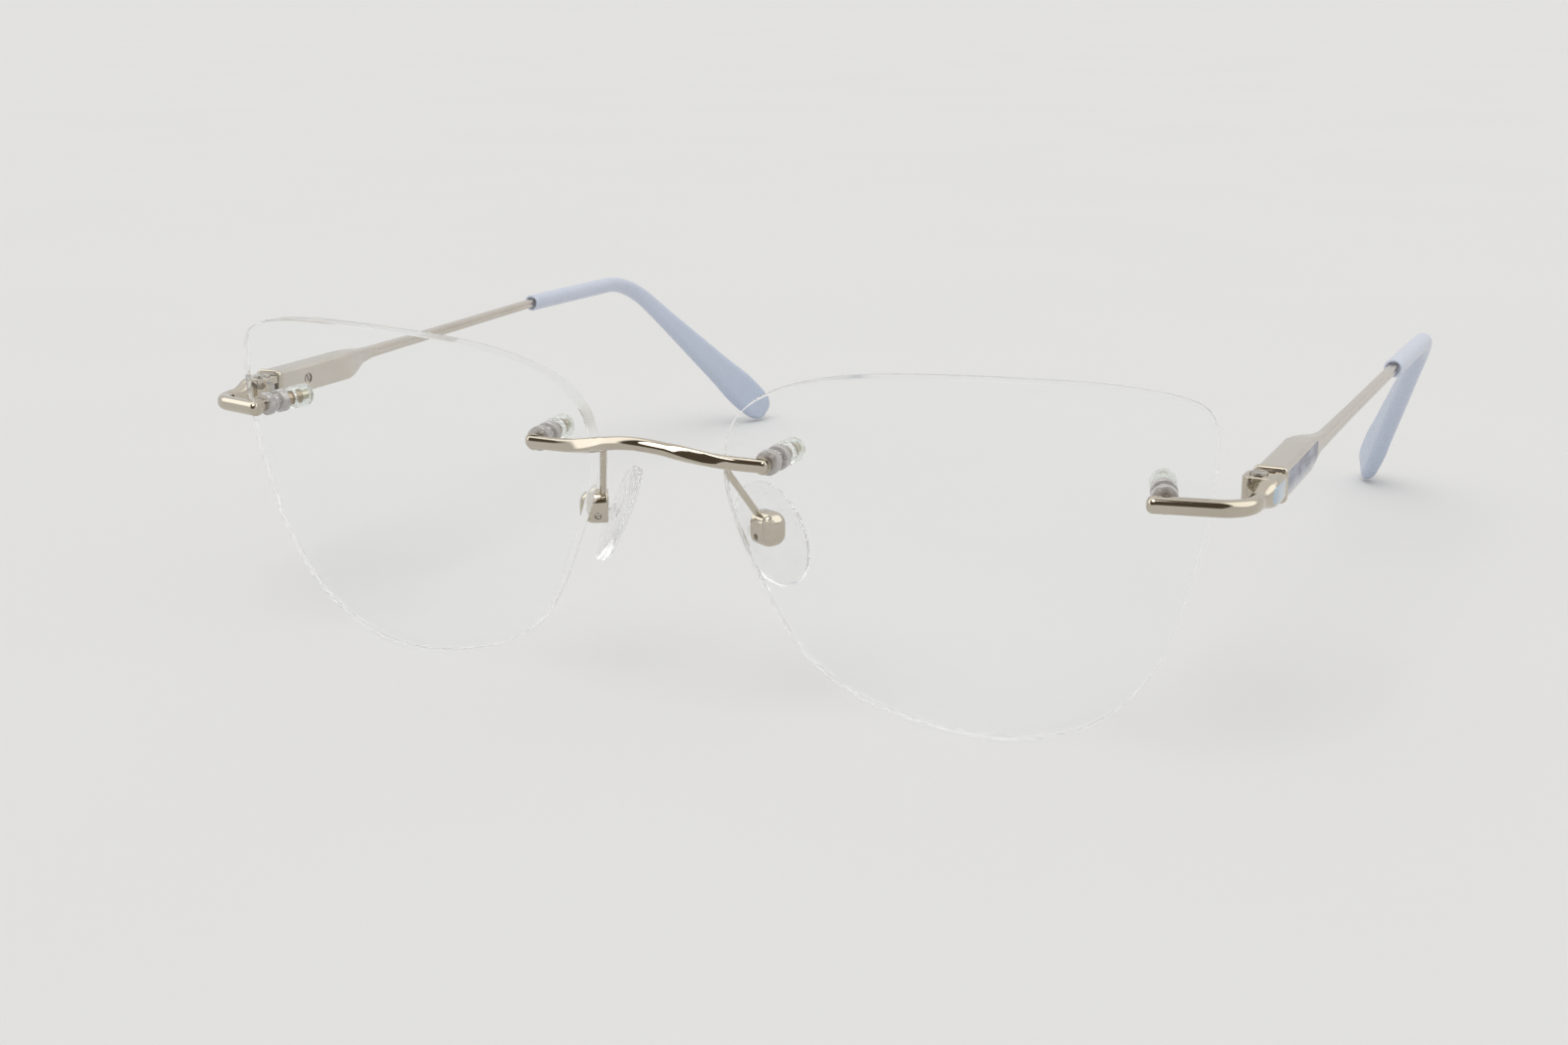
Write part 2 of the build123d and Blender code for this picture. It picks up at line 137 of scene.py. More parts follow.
def finerCopy(node, name, width, segments):
    # a merged copy of a CAD node with softened edges
    def change(work):
        bmesh.ops.remove_doubles(work, verts=work.verts, dist=1e-6)
        bmesh.ops.dissolve_limit(work, angle_limit=math.radians(1.5), verts=work.verts, edges=work.edges)

    twin = rework(copyOf(frame["nodes"][node], name), change)
    layers = twin.data.attributes
    for label in ("sharp_face", "sharp_edge", "custom_normal"):
        if label in layers:
            layers.remove(layers[label])
    softenEdges(twin, width, segments, 35)
    return shade(twin, 40)


def placed(origin, xWay, zWay):
    # frame with its z along zWay and its x along xWay
    z = Vector(zWay).normalized()
    x = Vector(xWay)
    x = (x - z * x.dot(z)).normalized()
    turn = Matrix((x, z.cross(x), z)).transposed().to_4x4()
    turn.translation = Vector(origin)
    return turn


def ringAt(spot, outline):
    # flat (x, y) outline laid into a frame
    return [spot @ Vector((x, y, 0)) for x, y in outline]


def arc(steps, whole=90):
    # even angles from zero to a whole
    return [math.radians(whole) * i / steps for i in range(steps + 1)]


def loft(name, rings, startPole=None, endPole=None):
    # skin over rings of equal count; a pole closes an end, else a flat face does
    count = len(rings[0])
    points = [Vector(p) for ring in rings for p in ring]
    faces = []
    for i in range(len(rings) - 1):
        for j in range(count):
            k = (j + 1) % count
            faces.append((i * count + j, i * count + k, (i + 1) * count + k, (i + 1) * count + j))
    for pole, base in ((startPole, 0), (endPole, (len(rings) - 1) * count)):
        if pole is None:
            faces.append([base + j for j in range(count)])
            continue
        points.append(Vector(pole))
        faces += [(base + j, base + (j + 1) % count, len(points) - 1) for j in range(count)]
    return addMesh(name, points, faces)


def turned(name, profile, where=None, count=48):
    # lathe piece: profile of (radius, height) drawn round the frame's z, closed at its poles
    where = where or Matrix()
    rings, poles = [], [None, None]
    for i, (radius, height) in enumerate(profile):
        if radius == 0:
            poles[0 if i == 0 else 1] = where @ Vector((0, 0, height))
            continue
        turns = [2 * math.pi * j / count for j in range(count)]
        rings.append([where @ Vector((radius * math.cos(t), radius * math.sin(t), height)) for t in turns])
    return loft(name, rings, *poles)


def rod(name, radius, low, high, where, count=40):
    return turned(name, [(0, low), (radius, low), (radius, high), (0, high)], where, count)


def ringOf(name, profile, count=48):
    # lathe piece with a bore: the profile is a closed outline clear of the axis
    points, faces, size = [], [], len(profile)
    for j in range(count):
        t = 2 * math.pi * j / count
        points += [(r * math.cos(t), r * math.sin(t), h) for r, h in profile]
    for j in range(count):
        for i in range(size):
            a, b = j * size, (j + 1) % count * size
            k = (i + 1) % size
            faces.append((a + i, a + k, b + k, b + i))
    return addMesh(name, points, faces)


def block(name, low, high):
    spots = [(x, y, z) for z in (low[2], high[2]) for y in (low[1], high[1]) for x in (low[0], high[0])]
    faces = [(0, 1, 3, 2), (4, 5, 7, 6), (0, 1, 5, 4), (2, 3, 7, 6), (0, 2, 6, 4), (1, 3, 7, 5)]
    return addMesh(name, spots, faces)


def roundedBlock(name, low, high, radius, segments):
    # block in the hinge's axes, with rounded edges
    return softenEdges(block(name, hinge + Vector(low), hinge + Vector(high)), radius, segments, 40)


def splineThrough(points, count, closed=False):
    # smooth cubic line through the points, spaced by their chords
    p = np.array([tuple(q) for q in points], float)
    if closed:
        p = np.vstack([p, p[:1]])
    h = np.linalg.norm(np.diff(p, axis=0), axis=1)
    t = np.concatenate([[0], np.cumsum(h)])
    n = len(t)
    a, b = np.zeros((n, n)), np.zeros_like(p)
    for i in range(1, n - 1):
        a[i, i - 1:i + 2] = h[i - 1], 2 * (h[i - 1] + h[i]), h[i]
        b[i] = 6 * ((p[i + 1] - p[i]) / h[i] - (p[i] - p[i - 1]) / h[i - 1])
    if closed:
        a[0, 0], a[0, -1] = 1, -1
        a[-1, 0], a[-1, 1], a[-1, -2], a[-1, -1] = 2 * h[0], h[0], h[-1], 2 * h[-1]
        b[-1] = 6 * ((p[1] - p[0]) / h[0] - (p[-1] - p[-2]) / h[-1])
    else:
        a[0, 0] = a[-1, -1] = 1
    m = np.linalg.solve(a, b)
    out = []
    for s in np.linspace(0, t[-1], count, endpoint=not closed):
        i = min(int(np.searchsorted(t, s, side="right")) - 1, n - 2)
        u, v = t[i + 1] - s, s - t[i]
        out.append((m[i] * u**3 + m[i + 1] * v**3) / (6 * h[i])
                   + (p[i] / h[i] - m[i] * h[i] / 6) * u + (p[i + 1] / h[i] - m[i + 1] * h[i] / 6) * v)
    return out


def bentLine(points, radius, arcSteps=24, runSteps=20):
    # straight runs joined by arcs, with the share of the length at each point
    corners = [Vector(p) for p in points]
    line = [corners[0]]
    for before, corner, after in zip(corners, corners[1:], corners[2:]):
        a, b = (before - corner).normalized(), (after - corner).normalized()
        half = a.angle(b) / 2
        centre = corner + (a + b).normalized() * (radius / math.sin(half))
        start = corner + a * (radius / math.tan(half))
        first = start - centre
        spin = first.cross(b - a).normalized()
        sweep = math.pi - 2 * half
        line += [line[-1].lerp(start, i / runSteps) for i in range(1, runSteps)]
        line += [centre + Matrix.Rotation(sweep * i / arcSteps, 3, spin) @ first for i in range(arcSteps + 1)]
    last = line[-1]
    line += [last.lerp(corners[-1], i / runSteps) for i in range(1, runSteps + 1)]
    lengths = np.concatenate([[0], np.cumsum([(q - p).length for p, q in zip(line, line[1:])])])
    return line, lengths / lengths[-1]


def onLine(line, shares, share):
    # point and direction at a share of the line
    share = min(max(share, 0), 1)
    i = min(max(int(np.searchsorted(shares, share, side="right")) - 1, 0), len(line) - 2)
    part = (share - shares[i]) / (shares[i + 1] - shares[i])
    before, after = line[max(i - 1, 0)], line[min(i + 2, len(line) - 1)]
    way = (line[i + 1] - line[i]).normalized()
    here = (line[i + 1] - before).normalized().lerp((after - line[i]).normalized(), part)
    return line[i].lerp(line[i + 1], part), (here if 0 < share < 1 else way).normalized()


def barFrame(point, way):
    return placed(point, way.cross(Vector((0, 0, 1))), way)


def roundedOutline(wide, high, radius, steps=6):
    # rectangle with round corners, centred, as (x, y) pairs
    radius = min(radius, 0.499 * wide, 0.499 * high)
    spots = []
    for corner, (sx, sy) in enumerate(((1, 1), (-1, 1), (-1, -1), (1, -1))):
        for i in range(steps + 1):
            t = math.pi / 2 * (corner + i / steps)
            spots.append((sx * (wide / 2 - radius) + radius * math.cos(t),
                          sy * (high / 2 - radius) + radius * math.sin(t)))
    return spots


def between(table, place):
    # a table's values at a place, in a straight line from row to row
    for low, high in zip(table, table[1:]):
        if place <= high[0]:
            part = min(max((place - low[0]) / (high[0] - low[0]), 0), 1)
            return [a + (b - a) * part for a, b in zip(low[1:], high[1:])]
    return list(table[-1][1:])


# Node helpers
def feed(tree, node, values):
    # sets a node's inputs, to plain values or from other nodes' sockets
    for label, value in values.items():
        if isinstance(value, bpy.types.NodeSocket):
            tree.links.new(value, node.inputs[label])
        else:
            node.inputs[label].default_value = value


def addNode(tree, kind, values=None, **settings):
    node = tree.nodes.new(kind)
    for label, setting in settings.items():
        setattr(node, label, setting)
    feed(tree, node, values or {})
    return node


def newTree(name, kind, inputs, outputs):
    # node group with its named sockets, and its ends
    tree = bpy.data.node_groups.new(name, kind)
    for label, socket, value in inputs:
        entry = tree.interface.new_socket(label, in_out="INPUT", socket_type=socket)
        if value is not None:
            entry.default_value = value
    for label, socket in outputs:
        tree.interface.new_socket(label, in_out="OUTPUT", socket_type=socket)
    return tree, tree.nodes.new("NodeGroupInput").outputs, tree.nodes.new("NodeGroupOutput")


def rangeNode(tree, source, low, high, fromLow=0.0, fromHigh=1.0):
    return addNode(tree, "ShaderNodeMapRange", {
        "Value": source, "From Min": fromLow, "From Max": fromHigh,
        "To Min": low, "To Max": high}).outputs["Result"]


def mathNode(tree, operation, *values):
    return addNode(tree, "ShaderNodeMath", dict(enumerate(values)), operation=operation).outputs[0]


def noiseNode(tree, place, scale, detail, **more):
    return addNode(tree, "ShaderNodeTexNoise", {
        "Vector": place, "Scale": scale, "Detail": detail, **more}).outputs["Fac"]


def blendColours(tree, source, first, second):
    first, second = [(*colour, 1) if isinstance(colour, tuple) else colour for colour in (first, second)]
    mix = addNode(tree, "ShaderNodeMix", {"Factor": source, 6: first, 7: second}, data_type="RGBA")
    return mix.outputs[2]


# Shader groups
def makePolishMarks():
    # hairline polishing marks and soft clouding, for metals and hard plastics
    group, entry, result = newTree("polishMarks", "ShaderNodeTree", [
        ("Scale", "NodeSocketFloat", 900.0), ("Stretch", "NodeSocketVector", (1.0, 0.12, 1.0)),
        ("Smooth Roughness", "NodeSocketFloat", 0.1), ("Worn Roughness", "NodeSocketFloat", 0.2),
        ("Cloud Scale", "NodeSocketFloat", 120.0)],
        [("Roughness", "NodeSocketFloat"), ("Cloud", "NodeSocketFloat"), ("Height", "NodeSocketFloat")])
    place = addNode(group, "ShaderNodeTexCoord").outputs["Object"]
    stretched = addNode(group, "ShaderNodeVectorMath", {0: place, 1: entry["Stretch"]}, operation="MULTIPLY")
    hair = noiseNode(group, stretched.outputs[0], entry["Scale"], 5, Roughness=0.65)
    clear = rangeNode(group, noiseNode(group, place, entry["Cloud Scale"], 3), 0.0, 1.0, 0.3, 0.7)
    both = mathNode(group, "MULTIPLY", hair, clear)
    rough = rangeNode(group, both, entry["Smooth Roughness"], entry["Worn Roughness"], 0.1, 0.6)
    feed(group, result, {"Roughness": rough, "Cloud": clear, "Height": hair})
    return group


def makeHandling():
    # faint dust and finger marks, for clear and glossy plastics
    group, entry, result = newTree("handlingMarks", "ShaderNodeTree", [
        ("Mark Scale", "NodeSocketFloat", 60.0), ("Clean Roughness", "NodeSocketFloat", 0.0),
        ("Marked Roughness", "NodeSocketFloat", 0.05)],
        [("Roughness", "NodeSocketFloat"), ("Mark", "NodeSocketFloat")])
    place = addNode(group, "ShaderNodeTexCoord").outputs["Object"]
    mark = rangeNode(group, noiseNode(group, place, entry["Mark Scale"], 4), 0.0, 1.0, 0.48, 0.72)
    rough = rangeNode(group, mark, entry["Clean Roughness"], entry["Marked Roughness"])
    feed(group, result, {"Roughness": rough, "Mark": mark})
    return group


polishMarks = makePolishMarks()
handlingMarks = makeHandling()


def newMaterial(name):
    material = bpy.data.materials.new(name)
    material.use_nodes = True
    tree = material.node_tree
    return material, tree, tree.nodes["Principled BSDF"]


def camel(slot):
    first, *rest = slot.split("_")
    return first + "".join(word.title() for word in rest)


def addMarks(tree, scale, stretch, smooth, worn, cloudScale):
    return addNode(tree, "ShaderNodeGroup", {
        "Scale": scale, "Stretch": stretch, "Smooth Roughness": smooth, "Worn Roughness": worn,
        "Cloud Scale": cloudScale}, node_tree=polishMarks).outputs


def addHandling(tree, scale, clean, marked):
    return addNode(tree, "ShaderNodeGroup", {
        "Mark Scale": scale, "Clean Roughness": clean, "Marked Roughness": marked},
        node_tree=handlingMarks).outputs


def makeMetal(name, light, dark, smooth, worn, stretch, bump):
    material, tree, shader = newMaterial(name)
    marks = addMarks(tree, 900.0, stretch, smooth, worn, 140.0)
    relief = addNode(tree, "ShaderNodeBump", {
        "Strength": bump, "Distance": 0.00002, "Height": marks["Height"]})
    feed(tree, shader, {
        "Base Color": blendColours(tree, marks["Cloud"], dark, light), "Roughness": marks["Roughness"],
        "Normal": relief.outputs["Normal"], "Metallic": 1.0})
    return material


def makeClear(name, clean, marked, ior, smooth, rough, markScale, shadow, wall=None):
    # shadow: how much of the piece's shade falls on the floor
    # wall: share and roughness of the ground edges, which lie across y
    material, tree, shader = newMaterial(name)
    marks = addHandling(tree, markScale, smooth, rough)
    light = addNode(tree, "ShaderNodeLightPath").outputs
    # light that runs on inside the piece is let out after a few turns
    solid = rangeNode(tree, light["Ray Depth"], 1.0, 0.0, 3.0, 5.0)
    roughness = marks["Roughness"]
    if wall:
        normal = addNode(tree, "ShaderNodeTexCoord").outputs["Normal"]
        split = addNode(tree, "ShaderNodeSeparateXYZ", {"Vector": normal})
        facing = mathNode(tree, "ABSOLUTE", split.outputs["Y"])
        solid = mathNode(tree, "MULTIPLY", rangeNode(tree, facing, wall[0], 1.0, 0.45, 0.8), solid)
        roughness = rangeNode(tree, facing, wall[1], roughness, 0.45, 0.8)
    # light on its way to the floor goes straight through
    lighting = mathNode(tree, "MAXIMUM", light["Is Shadow Ray"], light["Is Diffuse Ray"])
    feed(tree, shader, {
        "Base Color": blendColours(tree, marks["Mark"], clean, marked), "Roughness": roughness, "IOR": ior,
        "Transmission Weight": 1.0, "Alpha": rangeNode(tree, lighting, solid, shadow)})
    return material


def makeHard(name, dark, light, marking, finish):
    material, tree, shader = newMaterial(name)
    marks = addMarks(tree, *marking)
    feed(tree, shader, {
        "Base Color": blendColours(tree, marks["Cloud"], dark, light), "Roughness": marks["Roughness"],
        **finish})
    return material


def makeInlay():
    # pearly slate streaks that run along the temple, with a painted reflection of the pale floor that lightens the
    # lower edge
    material, tree, shader = newMaterial("slateInlay")
    place = addNode(tree, "ShaderNodeTexCoord").outputs["Object"]
    turn = addNode(tree, "ShaderNodeMapping", {
        "Vector": place, "Scale": (1.0, 0.28, 1.0), "Rotation": (0.18, 0.0, 0.0)})
    streak = noiseNode(tree, turn.outputs["Vector"], 900.0, 4, Distortion=0.9)
    ramp = addNode(tree, "ShaderNodeValToRGB", {"Fac": streak})
    steps = ramp.color_ramp.elements
    slates = {0.36: (0.045, 0.05, 0.105), 0.50: (0.085, 0.095, 0.18), 0.66: (0.21, 0.23, 0.33)}
    for spot, colour in slates.items():
        steps.new(spot).color = (*colour, 1)
    steps.remove(steps[0])
    steps.remove(steps[-1])
    height = addNode(tree, "ShaderNodeSeparateXYZ", {"Vector": place}).outputs["Z"]
    # painted reflection of the pale floor: the colour turns pale towards the lower edge
    low = rangeNode(tree, height, 1.0, 0.0, (hinge.z - 1.4) * mm, (hinge.z - 0.1) * mm)
    marks = addMarks(tree, 2500.0, (1.0, 1.0, 1.0), 0.18, 0.34, 400.0)
    feed(tree, shader, {
        "Base Color": blendColours(tree, low, ramp.outputs["Color"], (0.60, 0.61, 0.66)),
        "Roughness": marks["Roughness"], "Metallic": 0.15, "Coat Weight": 0.15, "Coat Roughness": 0.04})
    return material


def makeTipPlastic():
    # cloudy acetate, darker low down towards the paddle: partly its own deeper colour there, partly painted light
    # that brightens the higher tube start
    material, tree, shader = newMaterial("tipPlastic")
    place = addNode(tree, "ShaderNodeTexCoord").outputs["Object"]
    height = addNode(tree, "ShaderNodeSeparateXYZ", {"Vector": place}).outputs["Z"]
    # lighter higher up: partly painted highlight, partly the acetate's own colour
    depth = rangeNode(tree, height, 1.0, 0.0, 0.006, 0.030)
    swirl = rangeNode(tree, noiseNode(tree, place, 160.0, 3, Distortion=0.5), 0.0, 1.0, 0.35, 0.65)
    cloudy = blendColours(tree, swirl, (0.56, 0.605, 0.715), (0.575, 0.62, 0.725))
    marks = addHandling(tree, 260.0, 0.27, 0.29)
    feed(tree, shader, {
        "Base Color": blendColours(tree, depth, cloudy, (0.50, 0.565, 0.695)),
        "Roughness": marks["Roughness"], "IOR": 1.48})
    return material


metalLooks = {   # light and dark colour, smooth and worn roughness, stretch of the marks, depth of the relief
    "polished_nickel": ((0.58, 0.53, 0.45), (0.51, 0.46, 0.38), 0.04, 0.11, (0.15, 1.0, 1.0), 0.06),
    "satin_nickel": ((0.665, 0.615, 0.555), (0.60, 0.555, 0.50), 0.20, 0.30, (1.0, 0.08, 1.0), 0.05),
    "screw_steel": ((0.62, 0.59, 0.54), (0.44, 0.41, 0.37), 0.14, 0.30, (1.0, 1.0, 0.3), 0.2),
    "hinge_steel": ((0.55, 0.53, 0.50), (0.40, 0.38, 0.35), 0.20, 0.36, (1.0, 0.2, 1.0), 0.3),
    "nut_metal": ((0.50, 0.42, 0.32), (0.34, 0.27, 0.20), 0.10, 0.22, (1.0, 1.0, 0.2), 0.15),
}
clearLooks = {   # clean and marked colour, IOR, clean and marked roughness, scale of the marks, shadow, wall
    "clear_plastic": ((0.85, 0.89, 0.84), (0.77, 0.81, 0.77), 1.36, 0.08, 0.18, 700.0, 0.25),
    "lens_plastic": ((0.995, 1.0, 0.998), (0.985, 0.99, 0.99), 1.27, 0.0, 0.015, 45.0, 0.05, (0.5, 0.5)),
    "pad_silicone": ((0.96, 0.96, 0.965), (0.91, 0.91, 0.92), 1.28, 0.18, 0.30, 400.0, 0.15),
}
hardLooks = {   # dark and light colour, marks, finish; the washers are clear, and their grey is a painted reflection of the metal that shows through and mirrors in them
    "washer_plastic": (
        (0.40, 0.38, 0.37), (0.53, 0.51, 0.50), (1800.0, (1.0, 0.3, 1.0), 0.18, 0.34, 900.0),
        {"Metallic": 0.35, "Coat Weight": 0.6}),
    "blue_enamel": (
        (0.33, 0.45, 0.56), (0.42, 0.53, 0.62), (2500.0, (1.0, 1.0, 1.0), 0.12, 0.3, 500.0),
        {"Coat Weight": 0.8, "Coat Roughness": 0.05}),
}
materials = {slot: makeMetal(camel(slot), *look) for slot, look in metalLooks.items()}
materials.update({slot: makeClear(camel(slot), *look) for slot, look in clearLooks.items()})
materials.update({slot: makeHard(camel(slot), *look) for slot, look in hardLooks.items()})
materials["slate_inlay"] = makeInlay()
materials["tip_plastic"] = makeTipPlastic()
print("materials", len(materials))


def dress(piece, slot):
    piece.data.materials.clear()
    piece.data.materials.append(materials[slot])
    return piece


def keepPiece(piece, slot, body, *nodes):
    dress(piece, slot)
    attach(piece, body)
    if nodes:
        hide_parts(*nodes)
    return piece


def keepBothSides(piece, label, slot, body, *nodes):
    # body and nodes are written with {} where the side goes
    for side in sides:
        twin = (copyOf if side == "left" else mirrored)(piece, label + side.title())
        keepPiece(twin, slot, body.format(side), *[node.format(side) for node in nodes])
    bpy.data.objects.remove(piece)


# CAD nodes that stay get their slot's finish
for part in frame["record"]["subparts"]:
    dress(frame["nodes"][part["node"]], part["material_slot"])


# Lenses
lensSizes = {
    "radius": 127.0, "thick": 1.8, "tilt": 5.7, "wrap": 6.1, "point": (35.1, -12.95, 23.895),
    "hole": 0.97, "drill": (-4, 6), "edgeBevel": 0.12, "edgeSteps": 336, "rings": 12, "ringSpacing": 0.8,
    "outline": [   # across and up from the optical centre
        (27.3, 8.5), (26.2, 14.6), (22.2, 16.3), (9.4, 17.5), (-6.0, 17.2), (-17.4, 15.35), (-25.5, 10.1),
        (-26.5, 4.0), (-23.4, -5.9), (-16.3, -17.7), (-2.7, -23.5), (12.0, -23.0), (19.5, -17.5),
        (25.2, -4.0)],
    "bridgeMount": (-20.55, 6.65), "endpieceMount": (22.3, 6.0),
}
wrap, tilt = math.radians(lensSizes["wrap"]), math.radians(lensSizes["tilt"])
level = Vector((math.sin(wrap), -math.cos(wrap), 0))
px, py, pz = lensSizes["point"]
lensFrame = placed((px, hinge.y + py, pz), (math.cos(wrap), math.sin(wrap), 0),
                   level * math.cos(tilt) - Vector((0, 0, math.sin(tilt))))


def lensDepth(u, v, thick):
    bend = lensSizes["radius"]
    return math.sqrt((bend - thick) ** 2 - u * u - v * v) - bend


def mountFrame(mount):
    # on the lens front at a mount, z pointing back through the lens
    u, v = mount
    spot = lensFrame @ Vector((u, v, lensDepth(u, v, 0)))
    centre = lensFrame @ Vector((0, 0, -lensSizes["radius"]))
    return placed(spot, (1, 0, 0), centre - spot)


mounts = {name: mountFrame(lensSizes[name]) for name in ("bridgeMount", "endpieceMount")}


def makeLens():
    s = lensSizes
    outline = [Vector(p) for p in splineThrough(s["outline"], s["edgeSteps"], closed=True)]
    middle = sum(outline, Vector((0, 0))) / len(outline)
    thick, bevel, count = s["thick"], s["edgeBevel"], s["rings"]

    def ring(share, inset, sunk, side):
        spots = []
        for p in outline:
            way = p - middle
            u, v = middle + way * (share - inset / way.length)
            depth = lensDepth(u, v, 0) - sunk if side == "front" else lensDepth(u, v, thick) + sunk
            spots.append(lensFrame @ Vector((u, v, depth)))
        return spots

    shares = [((i + 1) / count) ** s["ringSpacing"] for i in range(count)]
    rings = [ring(share, bevel, 0, "front") for share in shares]
    rings += [ring(1, 0, bevel, "front"), ring(1, 0, bevel, "back")]
    rings += [ring(share, bevel, 0, "back") for share in reversed(shares)]
    poles = [lensFrame @ Vector((*middle, lensDepth(*middle, depth))) for depth in (0, thick)]
    lens = loft("lensBlank", rings, *poles)
    for place in mounts.values():
        combine(lens, rod("lensDrill", s["hole"], *s["drill"], place), "DIFFERENCE")
    return shade(lens, 30)


keepBothSides(makeLens(), "lens", "lens_plastic", "front", "lens_{}")
print("lenses made")


# Hardware at the four lens mounts, set out by Geometry Nodes; heights run back from the lens front
mountSizes = {
    "pin": 0.62, "sleeve": 0.95, "flange": 1.45, "washer": 0.9, "collar": 1.0, "rim": 0.16, "gap": 0.01,
    "nut": 0.92, "nutLength": 2.1, "nutRim": 0.12, "pinEnd": 6.0,
    "capStart": 3.8, "capEnd": 6.8, "capDome": 1.1, "capEdge": 0.1, "capBore": 0.72, "capRoom": 0.05,
    "nutRoom": 0.02,
}


def roundedRing(inner, outer, low, high, rim):
    # closed outline of a ring whose two outer rims are rounded
    spots = [(inner, low)]
    spots += [(outer - rim + rim * math.sin(t), low + rim - rim * math.cos(t)) for t in arc(4)]
    spots += [(outer - rim + rim * math.cos(t), high - rim + rim * math.sin(t)) for t in arc(4)]
    return spots + [(inner, high)]


def makeMountPieces():
    s = mountSizes
    pin, flange, gap, room = s["pin"], s["flange"], s["gap"], s["nutRoom"]
    lensBack = lensSizes["thick"]
    nutStart = lensBack + s["collar"]
    nutEnd = nutStart + s["nutLength"]
    washer = ringOf("washerPattern", roundedRing(pin, flange, -s["washer"], -gap, s["rim"]))
    collar = roundedRing(pin, flange, lensBack + gap, nutStart, s["rim"])
    sleeve = [(pin, 3 * gap), (s["sleeve"], 3 * gap), (s["sleeve"], lensBack + gap)]
    bush = ringOf("bushPattern", sleeve + collar[1:])
    nut = ringOf("nutPattern", roundedRing(pin, s["nut"], nutStart, nutEnd, s["nutRim"]))
    start, end, dome, edge, bore = (s["cap" + label] for label in ("Start", "End", "Dome", "Edge", "Bore"))
    pinRoom, nutRoom = s["pinEnd"] + s["capRoom"], s["nut"] + room
    shell = [(0, pinRoom), (bore, pinRoom), (bore, nutEnd + room), (nutRoom, nutEnd + room), (nutRoom, start),
             (flange - edge, start), (flange, start + edge)]
    shell += [(flange * math.cos(t), end - dome + dome * math.sin(t)) for t in arc(10)[:-1]] + [(0, end)]
    cap = turned("capPattern", shell)
    return [
        ("washers", washer, "washer_plastic", "clear_plastic"),
        ("bushes", bush, "washer_plastic", "clear_plastic"),
        ("nuts", nut, "nut_metal", "nut_metal"), ("caps", cap, "clear_plastic", "clear_plastic")]


def newGeometryTree(name, inputs):
    return newTree(name, "GeometryNodeTree", [
        ("Geometry", "NodeSocketGeometry", None), ("Finish", "NodeSocketMaterial", None), *inputs],
        [("Geometry", "NodeSocketGeometry")])


def finishTree(tree, geometry, entry, result):
    # makes the instances real and gives them their material
    real = addNode(tree, "GeometryNodeRealizeInstances", {"Geometry": geometry})
    done = addNode(tree, "GeometryNodeSetMaterial", {
        "Geometry": real.outputs["Geometry"], "Material": entry["Finish"]})
    feed(tree, result, {"Geometry": done.outputs["Geometry"]})
    return tree


def skinCurve(tree, curve, radius, corners):
    # round wire along a curve
    profile = addNode(tree, "GeometryNodeCurvePrimitiveCircle", {"Radius": radius, "Resolution": corners})
    return addNode(tree, "GeometryNodeCurveToMesh", {
        "Curve": curve, "Profile Curve": profile.outputs["Curve"], "Fill Caps": True}).outputs["Mesh"]


def runTree(piece, tree, values):
    # runs a tree on a piece and keeps the plain mesh
    step = piece.modifiers.new(tree.name, "NODES")
    step.node_group = tree
    for entry in tree.interface.items_tree:
        if entry.in_out == "INPUT" and entry.name in values:
            step[entry.identifier] = values[entry.name]
    return settle(piece)


def makeMountTree():
    tree, entry, result = newGeometryTree("standAtMounts", [("Pattern", "NodeSocketObject", None)])
    shape = {"Object": entry["Pattern"]}
    pattern = addNode(tree, "GeometryNodeObjectInfo", shape, transform_space="ORIGINAL")
    axis = addNode(tree, "GeometryNodeInputNamedAttribute", {"Name": "mountAxis"}, data_type="FLOAT_VECTOR")
    turn = addNode(tree, "FunctionNodeAlignRotationToVector", {"Vector": axis.outputs["Attribute"]}, axis="Z")
    stand = addNode(tree, "GeometryNodeInstanceOnPoints", {
        "Points": entry["Geometry"], "Instance": pattern.outputs["Geometry"],
        "Rotation": turn.outputs["Rotation"]})
    return finishTree(tree, stand.outputs["Instances"], entry, result)


def mountPoints(name):
    # a point at each mount, with the pin's direction
    spots, axes = [], []
    for place in mounts.values():
        for way in sides.values():
            flip = Vector((way, 1, 1))
            spots.append(place.translation * flip)
            axes.append(Vector(place.col[2][:3]) * flip)
    piece = meshObject(name, spots)
    layer = piece.data.attributes.new("mountAxis", "FLOAT_VECTOR", "POINT")
    for entry, axis in zip(layer.data, axes):
        entry.vector = axis
    return piece


mountTree = makeMountTree()
for label, pattern, finish, slot in makeMountPieces():
    piece = mountPoints("lensMount" + label.title())
    runTree(piece, mountTree, {"Pattern": pattern, "Finish": materials[finish]})
    bpy.data.objects.remove(pattern)
    keepPiece(shade(piece, 40), slot, "front", "mount_" + label)
    dress(piece, finish)
print("lens mounts made")


# Bridge
bridgeSizes = {
    "offset": 2.05, "high": 1.55, "deep": 1.35, "half": 14.7, "dome": 0.6, "steps": 190,
    "line": [   # distance from the middle, then forward and up from the mount's end
        (0, -2.4, 1.6), (3.4, -1.95, 1.25), (7.4, -0.55, 0.3), (10.6, -0.1, 0), (15.8, 0, 0)],
    "twist": [   # distance from the middle, turn, corner
        (0, -45, 0.67), (3.6, -40, 0.66), (4.8, -32, 0.42), (6.0, -28, 0.32), (8.0, -22, 0.32),
        (9.2, -12, 0.45), (11.2, 0, 0.63), (16.2, 0, 0.65)],
}
pinSizes = {
    "radius": 0.60, "shoulder": 0.78, "foot": 1.03, "footEnd": 0.85, "footFlare": 0.02, "edge": 0.06,
    "tipEdge": 0.05,
}


